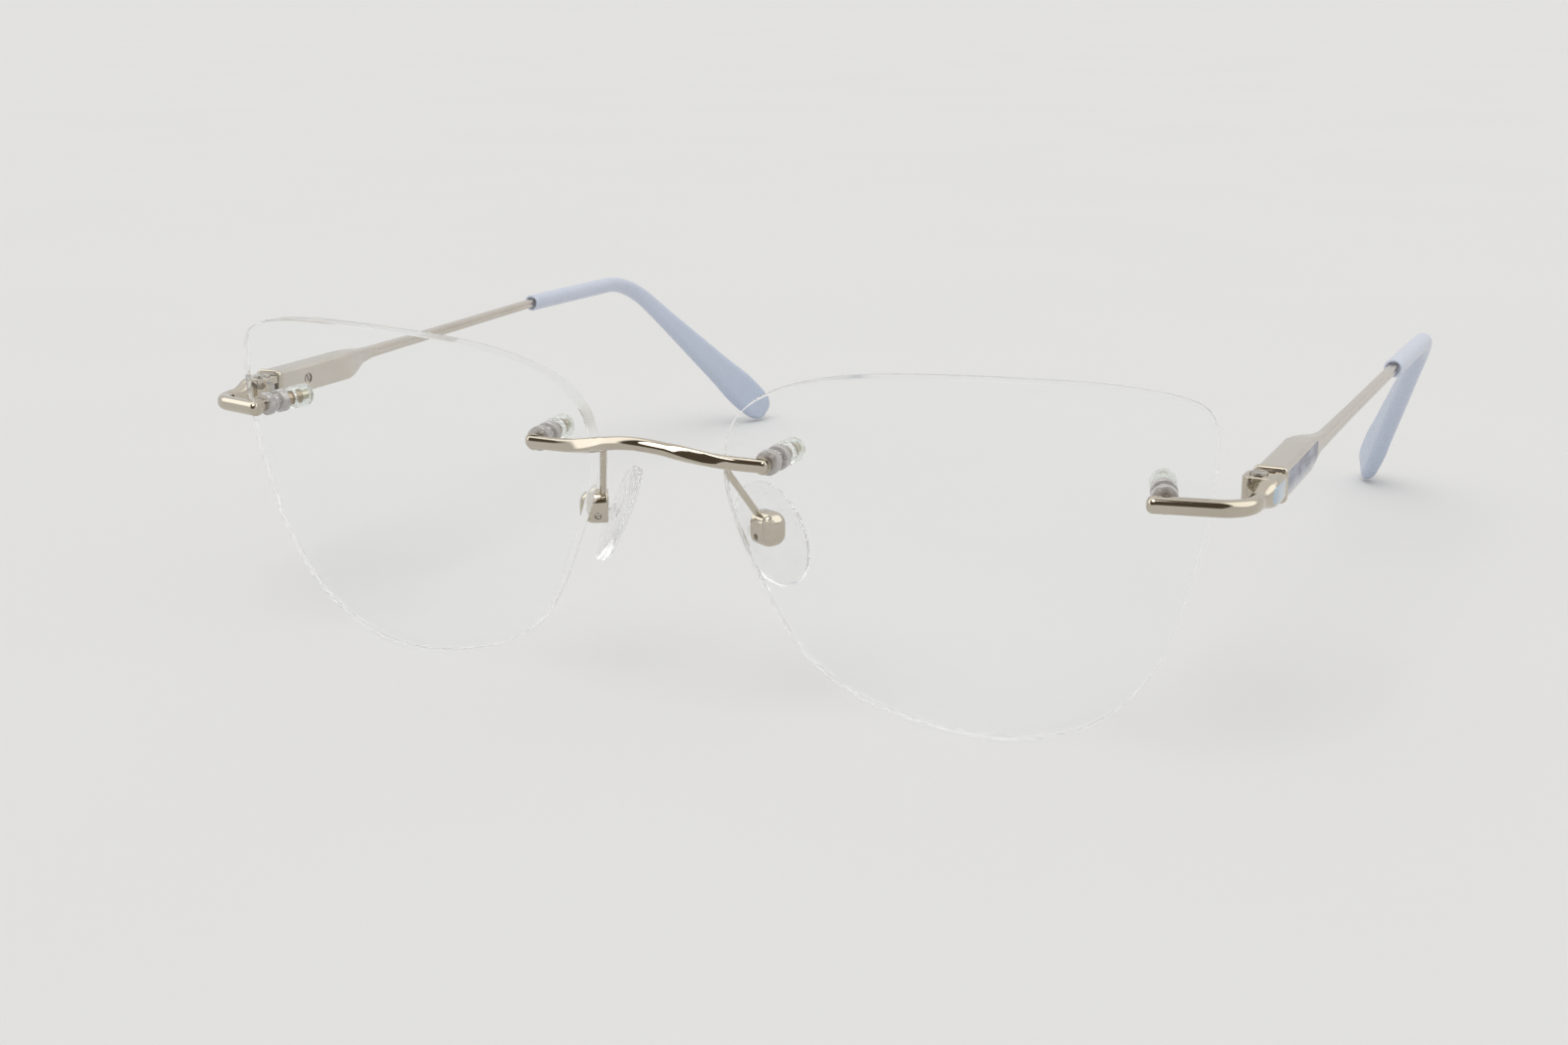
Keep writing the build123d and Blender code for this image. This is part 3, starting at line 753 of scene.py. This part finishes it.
def lensPin(place, offset):
    # shoulder and pin that leave a bar lying in front of the lens
    s, end, front = pinSizes, mountSizes["pinEnd"], -mountSizes["washer"]
    pin, shoulder, edge, tipEdge = s["radius"], s["shoulder"], s["edge"], s["tipEdge"]
    return turned("pinPattern", [
        (0, -offset), (s["foot"], -offset), (shoulder + s["footFlare"], -offset + s["footEnd"]),
        (shoulder, front - edge), (shoulder - edge, front),
        (pin, front), (pin, end - tipEdge), (pin - tipEdge, end), (0, end)], place, 40)


def makeBridge():
    s, place = bridgeSizes, mounts["bridgeMount"]
    end = place @ Vector((0, 0, -s["offset"]))
    half = [(x, end.y + y, end.z + z) for x, y, z in s["line"]]
    line = [Vector(p) for p in splineThrough([(-x, y, z) for x, y, z in reversed(half[1:])] + half, 400)]
    shares, reach = np.linspace(0, 1, len(line)), s["line"][-1][0]
    spots = [(s["half"] * (2 * i / s["steps"] - 1), 1.0) for i in range(s["steps"] + 1)]
    domes = [(s["half"] + s["dome"] * math.sin(t), math.cos(t)) for t in arc(9)[1:-1]]
    spots = [(-x, size) for x, size in reversed(domes)] + spots + domes
    rings = []
    for x, size in spots:
        inside = max(min(x, s["half"]), -s["half"])
        point, way = onLine(line, shares, (inside / reach + 1) / 2)
        turn, corner = between(s["twist"], abs(x))
        spot = barFrame(point + way * (x - inside), way) @ Matrix.Rotation(math.radians(turn), 4, "Z")
        rings.append(ringAt(spot, roundedOutline(s["deep"] * size, s["high"] * size, corner * size)))
    poles = [sum(ring, Vector()) / len(ring) for ring in (rings[0], rings[-1])]
    bar = loft("bridgeBar", rings, *poles)
    pin = lensPin(place, s["offset"])
    other = mirrored(pin, "pinOther")
    combine(bar, pin, "UNION")
    combine(bar, other, "UNION")
    return shade(bar, 34)


keepPiece(makeBridge(), "polished_nickel", "front", "bridge")
print("bridge made")


# Endpieces with their enamel and hinge fork, in the hinge's axes
endpieceSizes = {
    "offset": 2.9, "bar": 1.84, "corner": 0.80, "overhang": 1.95, "endDome": 0.7, "domeShape": 0.7,
    "barStart": 0.045, "barSteps": 90, "elbow": (1.0, -8.7, -0.2), "elbowRadius": 4.5, "elbowEnd": -5.0,
    "swell": [   # y, width, height, middle x, middle z, corner
        (-5.0, 1.84, 1.84, 1.0, -0.2, 0.80), (-4.3, 1.95, 2.0, 1.08, -0.17, 0.84),
        (-3.4, 2.1, 2.35, 1.22, -0.11, 0.88), (-2.6, 2.25, 2.75, 1.36, -0.05, 0.86),
        (-1.6, 2.4, 3.08, 1.4, 0, 0.80), (1.85, 2.4, 3.1, 1.4, 0, 0.62)],
    "swellStart": (-4.9, -1.6, 15), "swellEnd": (-0.8, 0.0, 0.9, 1.5, 1.85),
    "forkLow": (-1.5, -1.9, -1.55), "forkHigh": (1.6, 1.9, 1.55), "forkEdge": 0.15, "forkRound": 0.16,
    "rearCorner": 1.2, "frontCorner": 0.75,
    "enamelLow": (2.3, -4.2, -1.05), "enamelHigh": (4.3, 1.0, 1.05), "enamelCorner": 0.35,
    "knuckle": 1.62, "slot": 1.36, "swingLow": (-2.25, 0), "swingHigh": (1.85, 3.0),
    "screw": 0.72, "screwFoot": -1.37, "head": 1.0, "headFoot": 1.275, "headTop": 2.55,
}


def makeFork():
    s = endpieceSizes
    (left, front, low), (right, rear, high) = hinge + Vector(s["forkLow"]), hinge + Vector(s["forkHigh"])
    r, c, edge = s["rearCorner"], s["frontCorner"], s["forkEdge"]
    plan = [(left + c, front), (right - edge, front), (right, front + edge), (right, rear)]
    plan += [(left + r - r * math.sin(t), rear - r + r * math.cos(t)) for t in arc(8)]
    plan += [(left, front + c)]
    fork = loft("hingeFork", [[(x, y, z) for x, y in plan] for z in (low, high)])
    return softenEdges(fork, s["forkRound"], 3, 40)


def makeEndpiece():
    s, place, back = endpieceSizes, mounts["endpieceMount"], Vector((0, 1, 0))
    abovePin = place @ Vector((0, 0, -s["offset"]))
    corner = hinge + Vector(s["elbow"])
    start = abovePin - (corner - abovePin).normalized() * s["overhang"]
    line, shares = bentLine([start, corner, (corner.x, hinge.y + s["elbowEnd"], corner.z)], s["elbowRadius"])
    rings = []
    for t in arc(9)[1:-1]:
        point, way = onLine(line, shares, 0)
        size = math.sin(t) ** s["domeShape"]
        outline = roundedOutline(s["bar"] * size, s["bar"] * size, s["corner"] * size)
        rings.append(ringAt(barFrame(point + way * s["endDome"] * (1 - math.cos(t)), way), outline))
    outline = roundedOutline(s["bar"], s["bar"], s["corner"])
    for share in np.linspace(s["barStart"], 1, s["barSteps"]):
        rings.append(ringAt(barFrame(*onLine(line, shares, share)), outline))
    for y in (*np.linspace(*s["swellStart"]), *s["swellEnd"]):
        wide, high, x, z, radius = between(s["swell"], y)
        rings.append(ringAt(barFrame(hinge + Vector((x, y, z)), back), roundedOutline(wide, high, radius)))
    bar = loft("endpieceBar", rings, line[0], None)
    combine(bar, makeFork(), "UNION")
    combine(bar, lensPin(place, s["offset"]), "UNION")
    return shade(bar, 34)


def cutHinge(piece):
    # room for the knuckle and the screw
    s, middle = endpieceSizes, Matrix.Translation(hinge)
    half, foot = s["slot"] / 2, s["headFoot"]
    cutters = [
        rod("knuckleRoom", s["knuckle"], -half, half, middle, 56),
        block("swingRoom", hinge + Vector((*s["swingLow"], -half)), hinge + Vector((*s["swingHigh"], half))),
        turned("screwRoom", [
            (0, s["screwFoot"]), (s["screw"], s["screwFoot"]), (s["screw"], foot), (s["head"], foot),
            (s["head"], s["headTop"]), (0, s["headTop"])], middle)]
    for cutter in cutters:
        combine(piece, cutter, "DIFFERENCE")
    return piece


def splitOff(whole, zone, name):
    # cuts what lies in a zone out of a piece, as a piece of its own
    twin = copyOf(zone, name + "Zone")
    part = combine(copyOf(whole, name), zone, "INTERSECT")
    combine(whole, twin, "DIFFERENCE")
    return part


def makeEndpieceAndEnamel():
    s = endpieceSizes
    whole = makeEndpiece()
    zone = roundedBlock("enamelZone", s["enamelLow"], s["enamelHigh"], s["enamelCorner"], 5)
    enamel = splitOff(whole, zone, "enamelPattern")
    cutHinge(whole)
    return shade(whole, 34), shade(enamel, 34)


endpiece, enamel = makeEndpieceAndEnamel()
keepBothSides(endpiece, "endpiece", "polished_nickel", "front", "endpiece_{}")
keepBothSides(enamel, "endpieceEnamel", "blue_enamel", "front", "endpiece_enamel_{}")
print("endpieces made")


# Temples with their inlay, in the hinge's axes
templeSizes = {
    "boxHigh": 3.65, "boxWide": 3.35, "boxX": 0.77, "boxCorner": 0.5, "boxFront": 2.0, "frontRim": 0.16,
    "frontSteps": (0, 0.1875, 0.5625, 1), "frontLess": 0.30, "mouth": 1.0,
    "cavityHigh": 2.8, "cavityWide": 2.4, "cavityEnd": 16.6, "cavityCorner": 0.18,
    "rim": (2.02, 2.92, 0.26), "rimSink": 0.2, "coreInset": 0.1, "coreEnd": 4.0, "coreCorner": 0.4,
    "inlay": (2.9, 20.4, 1.32, 0.3), "inlayCorner": 0.45,
    "screwY": 8.1, "screwHole": 0.52, "screwSink": 0.74, "sinkDepth": 0.30, "sinkCone": 0.04,
    "stations": [(2.4, 17.3, 8), (17.4, 27.0, 40), (28.5, 71.4, 30)],   # first, last, count
    "shape": [   # y, width, height, middle x, middle z, corner, groove
        (2.0, 3.05, 3.35, 0.77, 0, 0.38, 0), (2.16, 3.35, 3.65, 0.77, 0, 0.5, 0),
        (17.3, 3.35, 3.65, 0.77, 0, 0.5, 0), (17.6, 3.25, 3.55, 0.79, 0.01, 0.5, 0),
        (18.6, 3.05, 3.42, 0.88, 0.06, 0.5, 0), (19.6, 2.72, 3.16, 1.04, 0.13, 0.5, 0),
        (20.8, 2.3, 2.7, 1.25, 0.24, 0.46, 0), (22.6, 1.7, 2.0, 1.62, 0.32, 0.4, 0),
        (25.5, 1.4, 1.55, 1.95, 0.35, 0.34, 0.03), (27.0, 1.38, 1.52, 1.98, 0.36, 0.34, 0.09),
        (40.0, 1.25, 1.35, 2.24, 0.47, 0.3, 0.09), (71.4, 1.2, 1.25, 2.87, 0.71, 0.28, 0.09)],
}


def groovedOutline(wide, high, radius, groove):
    # rounded rectangle with a groove along the middle of its inner and outer sides
    spots = roundedOutline(wide, high, radius)
    out = []
    for i, (x, y) in enumerate(spots):
        out.append((x, y))
        nx, ny = spots[(i + 1) % len(spots)]
        if abs(x - nx) < 1e-6 and abs(y - ny) > 0.1:
            for share, dip in ((0.3, 0), (0.42, 0.8), (0.5, 1), (0.58, 0.8), (0.7, 0)):
                out.append((x - math.copysign(groove * dip, x), y + (ny - y) * share))
    return out


def makeTemple():
    s, back = templeSizes, Vector((0, 1, 0))
    front, rim = s["boxFront"], s["frontRim"]
    ys = [front + rim * share for share in s["frontSteps"]]
    ys += [y for station in s["stations"] for y in np.linspace(*station)]
    rings = []
    for y in ys:
        wide, high, x, z, radius, groove = between(s["shape"], y)
        if y < front + rim:
            less = s["frontLess"] * (1 - math.sin(math.acos(1 - (y - front) / rim)))
            wide, high = s["boxWide"] - less, s["boxHigh"] - less
        spot = barFrame(hinge + Vector((x, y, z)), back)
        rings.append(ringAt(spot, groovedOutline(wide, high, radius, groove)))
    temple = loft("templeBody", rings)
    wide, high = s["cavityWide"] / 2, s["cavityHigh"] / 2
    low, far = (s["boxX"] - wide, s["mouth"], -high), (s["boxX"] + wide, s["cavityEnd"], high)
    combine(temple, roundedBlock("templeCavity", low, far, s["cavityCorner"], 3), "DIFFERENCE")
    hole = placed(hinge + Vector((s["boxX"] - s["boxWide"] / 2, s["screwY"], 0)), (0, 0, 1), (1, 0, 0))
    screw, sink, depth = s["screwHole"], s["screwSink"], s["sinkDepth"]
    profile = [(0, -1), (sink, -1), (sink, depth), (screw, depth + s["sinkCone"]), (screw, 1.0), (0, 1.0)]
    return combine(temple, turned("screwHole", profile, hole, 40), "DIFFERENCE")


def makeTempleAndInlay():
    s = templeSizes
    start, end, half, depth = s["inlay"]
    whole, outer = makeTemple(), s["boxX"] + s["boxWide"] / 2
    low, high = (outer - depth, start, -half), (outer + 1, end, half)
    zone = roundedBlock("inlayZone", low, high, s["inlayCorner"], 5)
    inlay = splitOff(whole, zone, "inlayPattern")
    return shade(whole, 32), shade(inlay, 32)


def makeRim():
    # polished bead round the mouth of the box
    s = templeSizes
    start, end, proud = s["rim"]
    rings = []
    for t in arc(10, 180):
        y = (start + end) / 2 - (end - start) / 2 * math.cos(t)
        grow = 2 * proud * (math.sin(t) - s["rimSink"])
        outline = roundedOutline(s["boxWide"] + grow, s["boxHigh"] + grow, s["boxCorner"] + grow / 2)
        rings.append(ringAt(barFrame(hinge + Vector((s["boxX"], y, 0)), Vector((0, 1, 0))), outline))
    wide, high = s["boxWide"] / 2 - s["coreInset"], s["boxHigh"] / 2 - s["coreInset"]
    low, far = (s["boxX"] - wide, s["mouth"], -high), (s["boxX"] + wide, s["coreEnd"], high)
    core = roundedBlock("rimCore", low, far, s["coreCorner"], 4)
    return shade(combine(loft("rimPattern", rings), core, "DIFFERENCE"), 40)


temple, inlay = makeTempleAndInlay()
keepBothSides(temple, "temple", "satin_nickel", "{}_temple", "temple_{}")
keepBothSides(inlay, "templeInlay", "slate_inlay", "{}_temple", "temple_inlay_{}")
keepBothSides(makeRim(), "templeRim", "polished_nickel", "{}_temple")
print("temples made")


# Temple tips
tipSizes = {
    "start": (2.85, 70.4, 30.4), "corner": (3.0, 101.9, 29.7), "end": (-9.4, 132.4, 1.33), "bend": 17.0,
    "mouth": [   # radius, distance into the tip
        (0.92, 0.45), (0.92, 0.12), (0.96, 0.02), (1.1, 0.0), (1.2, 0.03), (1.25, 0.12)],
    "shape": [   # share of the path, half thickness, half width
        (0.0, 1.25, 1.25), (0.28, 1.25, 1.25), (0.35, 1.235, 1.25), (0.40, 1.24, 1.28), (0.45, 1.26, 1.34),
        (0.50, 1.28, 1.42), (0.60, 1.32, 1.72), (0.72, 1.36, 2.24), (0.84, 1.36, 2.85), (0.90, 1.31, 3.12),
        (0.94, 1.22, 3.05)],
    "endShape": 0.8, "cornerShare": 0.96, "firstShare": 0.01, "steps": 130,
}


def makeTip():
    s = tipSizes
    spots = [Vector((hinge.x + x, hinge.y + y, z)) for x, y, z in (s["start"], s["corner"], s["end"])]
    line, shares = bentLine(spots, s["bend"], 60, 40)
    smooth = splineThrough(s["shape"], 400)

    def ring(share, thick, wide, shift=0.0):
        point, way = onLine(line, shares, share)
        outline = roundedOutline(2 * thick, 2 * wide, s["cornerShare"] * thick, 10)
        return ringAt(barFrame(point + way * shift, way), outline)

    rings = [ring(0, radius, radius, shift) for radius, shift in s["mouth"]]
    last, thick, wide = s["shape"][-1]
    for share in np.linspace(s["firstShare"], last, s["steps"]):
        rings.append(ring(share, *min(smooth, key=lambda row: abs(row[0] - share))[1:]))
    for t in arc(12)[1:-1]:
        size = math.cos(t) ** s["endShape"]
        rings.append(ring(last + (1 - last) * math.sin(t), thick * size, wide * size))
    return shade(loft("tipPattern", rings, None, onLine(line, shares, 1.0)[0]), 40)


keepBothSides(makeTip(), "templeTip", "tip_plastic", "{}_temple", "temple_tip_{}")
print("tips made")


# Nose pads on their arms, in the pad screw's axes
padSizes = {
    "splay": 28.0, "flare": 23.0, "lean": 13.7, "turn": -5.0, "middle": 2.5, "up": 0.2, "back": 2.4,
    "long": 12.9, "wide": 8.2,
    "profile": [   # share of the half width, height from the screw
        (0.30, -1.80), (0.62, -1.77), (0.86, -1.77), (0.94, -1.81), (0.98, -1.90), (1.0, -2.06),
        (1.0, -2.35), (1.0, -2.72), (0.99, -2.93), (0.965, -3.08), (0.92, -3.20), (0.82, -3.29),
        (0.60, -3.33), (0.30, -3.35)],
    "shank": [   # height from the screw, width, depth
        (-2.1, 2.6, 2.0), (-1.75, 2.3, 1.6), (-1.5, 1.8, 1.05), (-1.2, 1.7, 0.8), (0.1, 1.7, 0.8)],
    "shankCorner": 0.25, "shankWide": 1.7, "head": 0.55, "bore": 0.43, "boreReach": 3,
    "armWire": 0.40, "armBend": 1.6, "arm": [(6.6, -15.9, 30.4), (7.4, -12.2, 30.2)],
    "armEnd": (-0.9, 1.75, -0.7), "boxSpot": (0, 0.65, 0.1), "boxSize": (3.4, 4.0, 3.15),
    "boxShift": (0, 0.2, 0.30), "boxCorner": 1.45, "leastCorner": 0.08, "boxCushion": 1.35, "boxRim": 0.2,
    "roomLow": (-0.95, -1.47), "roomHigh": (0.95, 1.08), "boxWall": 0.95, "boxBore": 0.42, "boxCrown": 0.05,
}
splay = math.radians(padSizes["splay"])
padFrame = placed(padPivot, padAxis, (math.cos(splay), -math.sin(splay), 0))
padAcross = padFrame @ Matrix.Rotation(math.pi / 2, 4, "Y")


def ovalRing(share, height, place, count=72):
    across, along = padSizes["wide"] / 2 * share, padSizes["long"] / 2 * share
    turns = [2 * math.pi * i / count for i in range(count)]
    return [place @ Vector((across * math.cos(t), along * math.sin(t), height)) for t in turns]


def makePad():
    s = padSizes
    place = padFrame @ Matrix.Rotation(math.radians(-s["flare"]), 4, "X")
    place = place @ Matrix.Translation((s["back"], s["up"], -s["middle"]))
    place = place @ Matrix.Rotation(math.radians(s["lean"]), 4, "Z")
    place = place @ Matrix.Rotation(math.radians(s["turn"]), 4, "Y") @ Matrix.Translation((0, 0, s["middle"]))
    rings = [ovalRing(share, height, place) for share, height in s["profile"]]
    poles = [place @ Vector((0, 0, s["profile"][end][1])) for end in (0, -1)]
    pad = loft("padPattern", rings, *poles)
    shank = [[padFrame @ Vector((x, y, height)) for x, y in roundedOutline(wide, deep, s["shankCorner"])]
             for height, wide, deep in s["shank"]]
    combine(pad, loft("padShank", shank), "UNION")
    half = s["shankWide"] / 2
    combine(pad, rod("padHead", s["head"], -half, half, padAcross), "UNION")
    combine(pad, rod("padBore", s["bore"], -s["boreReach"], s["boreReach"], padAcross, 32), "DIFFERENCE")
    return shade(pad, 40)


def makeWireTree():
    # round wire along a line of edges
    tree, entry, result = newGeometryTree("wireAlongLine", [
        ("Wire Radius", "NodeSocketFloat", 0.0004), ("Sides", "NodeSocketInt", 20)])
    line = addNode(tree, "GeometryNodeMeshToCurve", {"Mesh": entry["Geometry"]})
    skin = skinCurve(tree, line.outputs["Curve"], entry["Wire Radius"], entry["Sides"])
    return finishTree(tree, skin, entry, result)


def makePadArm():
    s = padSizes
    end = padFrame @ (Vector(s["boxSpot"]) + Vector(s["armEnd"]))
    spots = [Vector((x, hinge.y + y, z)) for x, y, z in s["arm"]] + [end]
    line, _ = bentLine(spots, s["armBend"], 20, 8)
    arm = meshObject("padArmPattern", line, [(i, i + 1) for i in range(len(line) - 1)])
    runTree(arm, makeWireTree(), {
        "Wire Radius": s["armWire"] * mm, "Sides": 24, "Finish": materials["polished_nickel"]})
    return shade(faceOut(arm), 40)


def makePadBox():
    # cushion-shaped box, hollow towards the nose
    s = padSizes
    wide, high, deep = s["boxSize"]
    corner, cushion, rim = s["boxCorner"], s["boxCushion"], s["boxRim"]
    place = padFrame @ Matrix.Translation(Vector(s["boxShift"]) + Vector(s["boxSpot"]))
    steps = [(rim * (1 - math.sin(t)), rim * (1 - math.cos(t)) - deep / 2) for t in arc(4)]
    steps += [(cushion * (1 - math.cos(t)), deep / 2 - cushion * (1 - math.sin(t))) for t in arc(10)]
    rings = []
    for inset, z in steps:
        radius = max(corner - inset, s["leastCorner"])
        outline = roundedOutline(wide - 2 * inset, high - 2 * inset, radius, 10)
        rings.append([place @ Vector((x, y, z)) for x, y in outline])
    box = loft("padBoxPattern", rings, None, place @ Vector((0, 0, deep / 2 + s["boxCrown"])))
    room = block("padBoxRoom", (*s["roomLow"], -deep), (*s["roomHigh"], deep / 2 - s["boxWall"]))
    room.data.transform(Matrix.Scale(mm, 4) @ place @ Matrix.Scale(1 / mm, 4))
    combine(box, room, "DIFFERENCE")
    reach = s["boreReach"]
    combine(box, rod("padBoxBore", s["boxBore"], -reach, reach, padAcross), "DIFFERENCE")
    return shade(box, 40)


keepBothSides(makePad(), "nosePad", "pad_silicone", "{}_pad", "nose_pad_{}")
keepBothSides(makePadArm(), "padArm", "polished_nickel", "front", "pad_arm_{}")
keepBothSides(makePadBox(), "padBox", "polished_nickel", "front", "pad_box_{}")
print("nose pads made")


# Hinge springs, wound by Geometry Nodes
springSizes = {
    "wire": 0.15, "coil": 0.80, "turns": 5.0, "start": 9.58, "end": 14.44, "offset": 0.77,
    "steps": 28, "sides": 12,
}


def makeSpringTree():
    tree, entry, result = newGeometryTree("windSpring", [
        ("Turns", "NodeSocketFloat", 5.0), ("Coil Radius", "NodeSocketFloat", 0.0008),
        ("Length", "NodeSocketFloat", 0.005), ("Wire Radius", "NodeSocketFloat", 0.00015),
        ("Start", "NodeSocketVector", (0, 0, 0))])
    coil = addNode(tree, "GeometryNodeCurveSpiral", {
        "Resolution": springSizes["steps"], "Rotations": entry["Turns"], "Start Radius": entry["Coil Radius"],
        "End Radius": entry["Coil Radius"], "Height": entry["Length"]})
    skin = skinCurve(tree, coil.outputs["Curve"], entry["Wire Radius"], springSizes["sides"])
    lay = addNode(tree, "GeometryNodeTransform", {
        "Geometry": skin, "Rotation": (-math.pi / 2, 0, 0), "Translation": entry["Start"]})
    return finishTree(tree, lay.outputs["Geometry"], entry, result)


def makeSpring():
    s = springSizes
    start = (hinge + Vector((s["offset"], s["start"], 0))) * mm
    piece = runTree(meshObject("springPattern", []), makeSpringTree(), {
        "Turns": s["turns"], "Coil Radius": s["coil"] * mm, "Length": (s["end"] - s["start"]) * mm,
        "Wire Radius": s["wire"] * mm, "Start": tuple(start), "Finish": materials["hinge_steel"]})
    return shade(faceOut(piece), 60)


keepBothSides(makeSpring(), "hingeSpring", "hinge_steel", "{}_temple", "hinge_spring_{}")

# Screws with softened heads
for node, label, body, width in (
        ("hinge_screw", "hingeScrew", "front", 0.07), ("pad_screw", "padScrew", "front", 0.04),
        ("retaining_screw", "retainingScrew", "{}_temple", 0.05)):
    screw = finerCopy(node + "_left", label + "Pattern", width, 2)
    keepBothSides(screw, label, "screw_steel", body, node + "_{}")
print("springs and screws made")


# Floor, lights and camera
studio = {
    "floorColour": (0.730, 0.731, 0.727), "floorReach": 6.0, "floorDrop": 0.00003, "grain": 0.015,
    "skyColour": (1.0, 0.995, 0.985, 1), "skyFill": 0.72,
    "sunColour": (1.0, 0.985, 0.96), "sunStrength": 1.15, "sunSize": 42.0, "sunTurn": (28.0, 12.0, -20.0),
    "backdrop": (0.745, 0.745, 0.738), "ceiling": (0.90, 0.895, 0.885),
    "patches": [   # azimuth from the front, elevation, outer and inner spread, colour
        (-75.0, 45.0, 42.0, 32.0, (1.8, 1.8, 1.76)), (107.0, 43.0, 36.0, 26.0, (1.7, 1.7, 1.66)),
        (3.0, 42.0, 52.0, 42.0, (0.105, 0.086, 0.062))],
    "cameraSpot": (107.85, -269.9, 83.32), "azimuth": 24.782, "elevation": 15.183, "roll": -0.089,
    "lens": 47.37, "sensor": 36.0, "clip": (0.01, 30.0),
}


def wayTo(azimuth, elevation):
    # direction from the middle, azimuth counted from the front
    a, e = math.radians(azimuth), math.radians(elevation)
    return Vector((math.sin(a) * math.cos(e), -math.cos(a) * math.cos(e), math.sin(e)))


def makeFloor():
    reach = studio["floorReach"] / mm
    corners = [(-reach, -reach, 0), (reach, -reach, 0), (reach, reach, 0), (-reach, reach, 0)]
    floor = meshObject("studioFloor", corners, faces=[(0, 1, 2, 3)])
    floor.location.z = -studio["floorDrop"]
    material, tree, shader = newMaterial("studioPaper")
    grain = noiseNode(tree, addNode(tree, "ShaderNodeTexCoord").outputs["Object"], 9.0, 2)
    colour, change = studio["floorColour"], studio["grain"]
    dark, light = [tuple(c * level for c in colour) for level in (1 - change, 1 + change)]
    feed(tree, shader, {
        "Base Color": blendColours(tree, grain, dark, light), "Roughness": 0.9, "Specular IOR Level": 0.1})
    floor.data.materials.append(material)


def makeWorld():
    # even fill for surfaces; camera and glass see the pale backdrop, metal also the dim room before it
    world = bpy.data.worlds.new("studioWorld")
    world.use_nodes = True
    bpy.context.scene.world = world
    tree = world.node_tree
    tree.nodes.clear()
    place = addNode(tree, "ShaderNodeTexCoord").outputs["Generated"]
    height = addNode(tree, "ShaderNodeSeparateXYZ", {"Vector": place}).outputs["Z"]
    above = rangeNode(tree, height, 0.0, 1.0, 0.35, 0.65)
    room = blendColours(tree, above, studio["backdrop"], studio["ceiling"])
    for azimuth, elevation, outer, inner, colour in studio["patches"]:
        ways = {0: place, 1: wayTo(azimuth, elevation)}
        toward = addNode(tree, "ShaderNodeVectorMath", ways, operation="DOT_PRODUCT").outputs["Value"]
        limits = [math.cos(math.radians(spread)) for spread in (outer, inner)]
        room = blendColours(tree, rangeNode(tree, toward, 0.0, 1.0, *limits), room, colour)
    path = addNode(tree, "ShaderNodeLightPath").outputs
    # the patches are for mirrored views only, not for light thrown on the floor
    mirrored = mathNode(tree, "SUBTRACT", path["Is Glossy Ray"], path["Is Transmission Ray"])
    mirrored = mathNode(tree, "SUBTRACT", mirrored, path["Diffuse Depth"])
    sees = mathNode(tree, "MAXIMUM", path["Is Camera Ray"], path["Is Glossy Ray"])
    sees = mathNode(tree, "MAXIMUM", sees, path["Is Transmission Ray"])
    sees = mathNode(tree, "SUBTRACT", sees, path["Diffuse Depth"])
    sky = {"Color": studio["skyColour"], "Strength": studio["skyFill"]}
    fill = addNode(tree, "ShaderNodeBackground", sky)
    view = {"Color": blendColours(tree, mirrored, studio["backdrop"], room)}
    seen = addNode(tree, "ShaderNodeBackground", view)
    mix = addNode(tree, "ShaderNodeMixShader", {"Fac": sees, 1: fill.outputs[0], 2: seen.outputs[0]})
    addNode(tree, "ShaderNodeOutputWorld", {"Surface": mix.outputs[0]})


def makeLights():
    lamp = bpy.data.lights.new("softKey", "SUN")
    lamp.energy = studio["sunStrength"]
    lamp.angle = math.radians(studio["sunSize"])
    lamp.color = studio["sunColour"]
    putObject("softKey", lamp).rotation_euler = [math.radians(a) for a in studio["sunTurn"]]


def makeCamera():
    s = studio
    data = bpy.data.cameras.new("studioCamera")
    data.lens = s["lens"]
    data.sensor_width = s["sensor"]
    data.clip_start, data.clip_end = s["clip"]
    camera = putObject("studioCamera", data)
    camera.location = Vector(s["cameraSpot"]) * mm
    camera.rotation_mode = "QUATERNION"
    roll = Matrix.Rotation(math.radians(s["roll"]), 3, "Z").to_quaternion()
    camera.rotation_quaternion = (-wayTo(s["azimuth"], s["elevation"])).to_track_quat("-Z", "Y") @ roll
    bpy.context.scene.camera = camera


makeFloor()
makeWorld()
makeLights()
makeCamera()
bpy.context.scene.view_settings.view_transform = "Standard"
print("studio made")
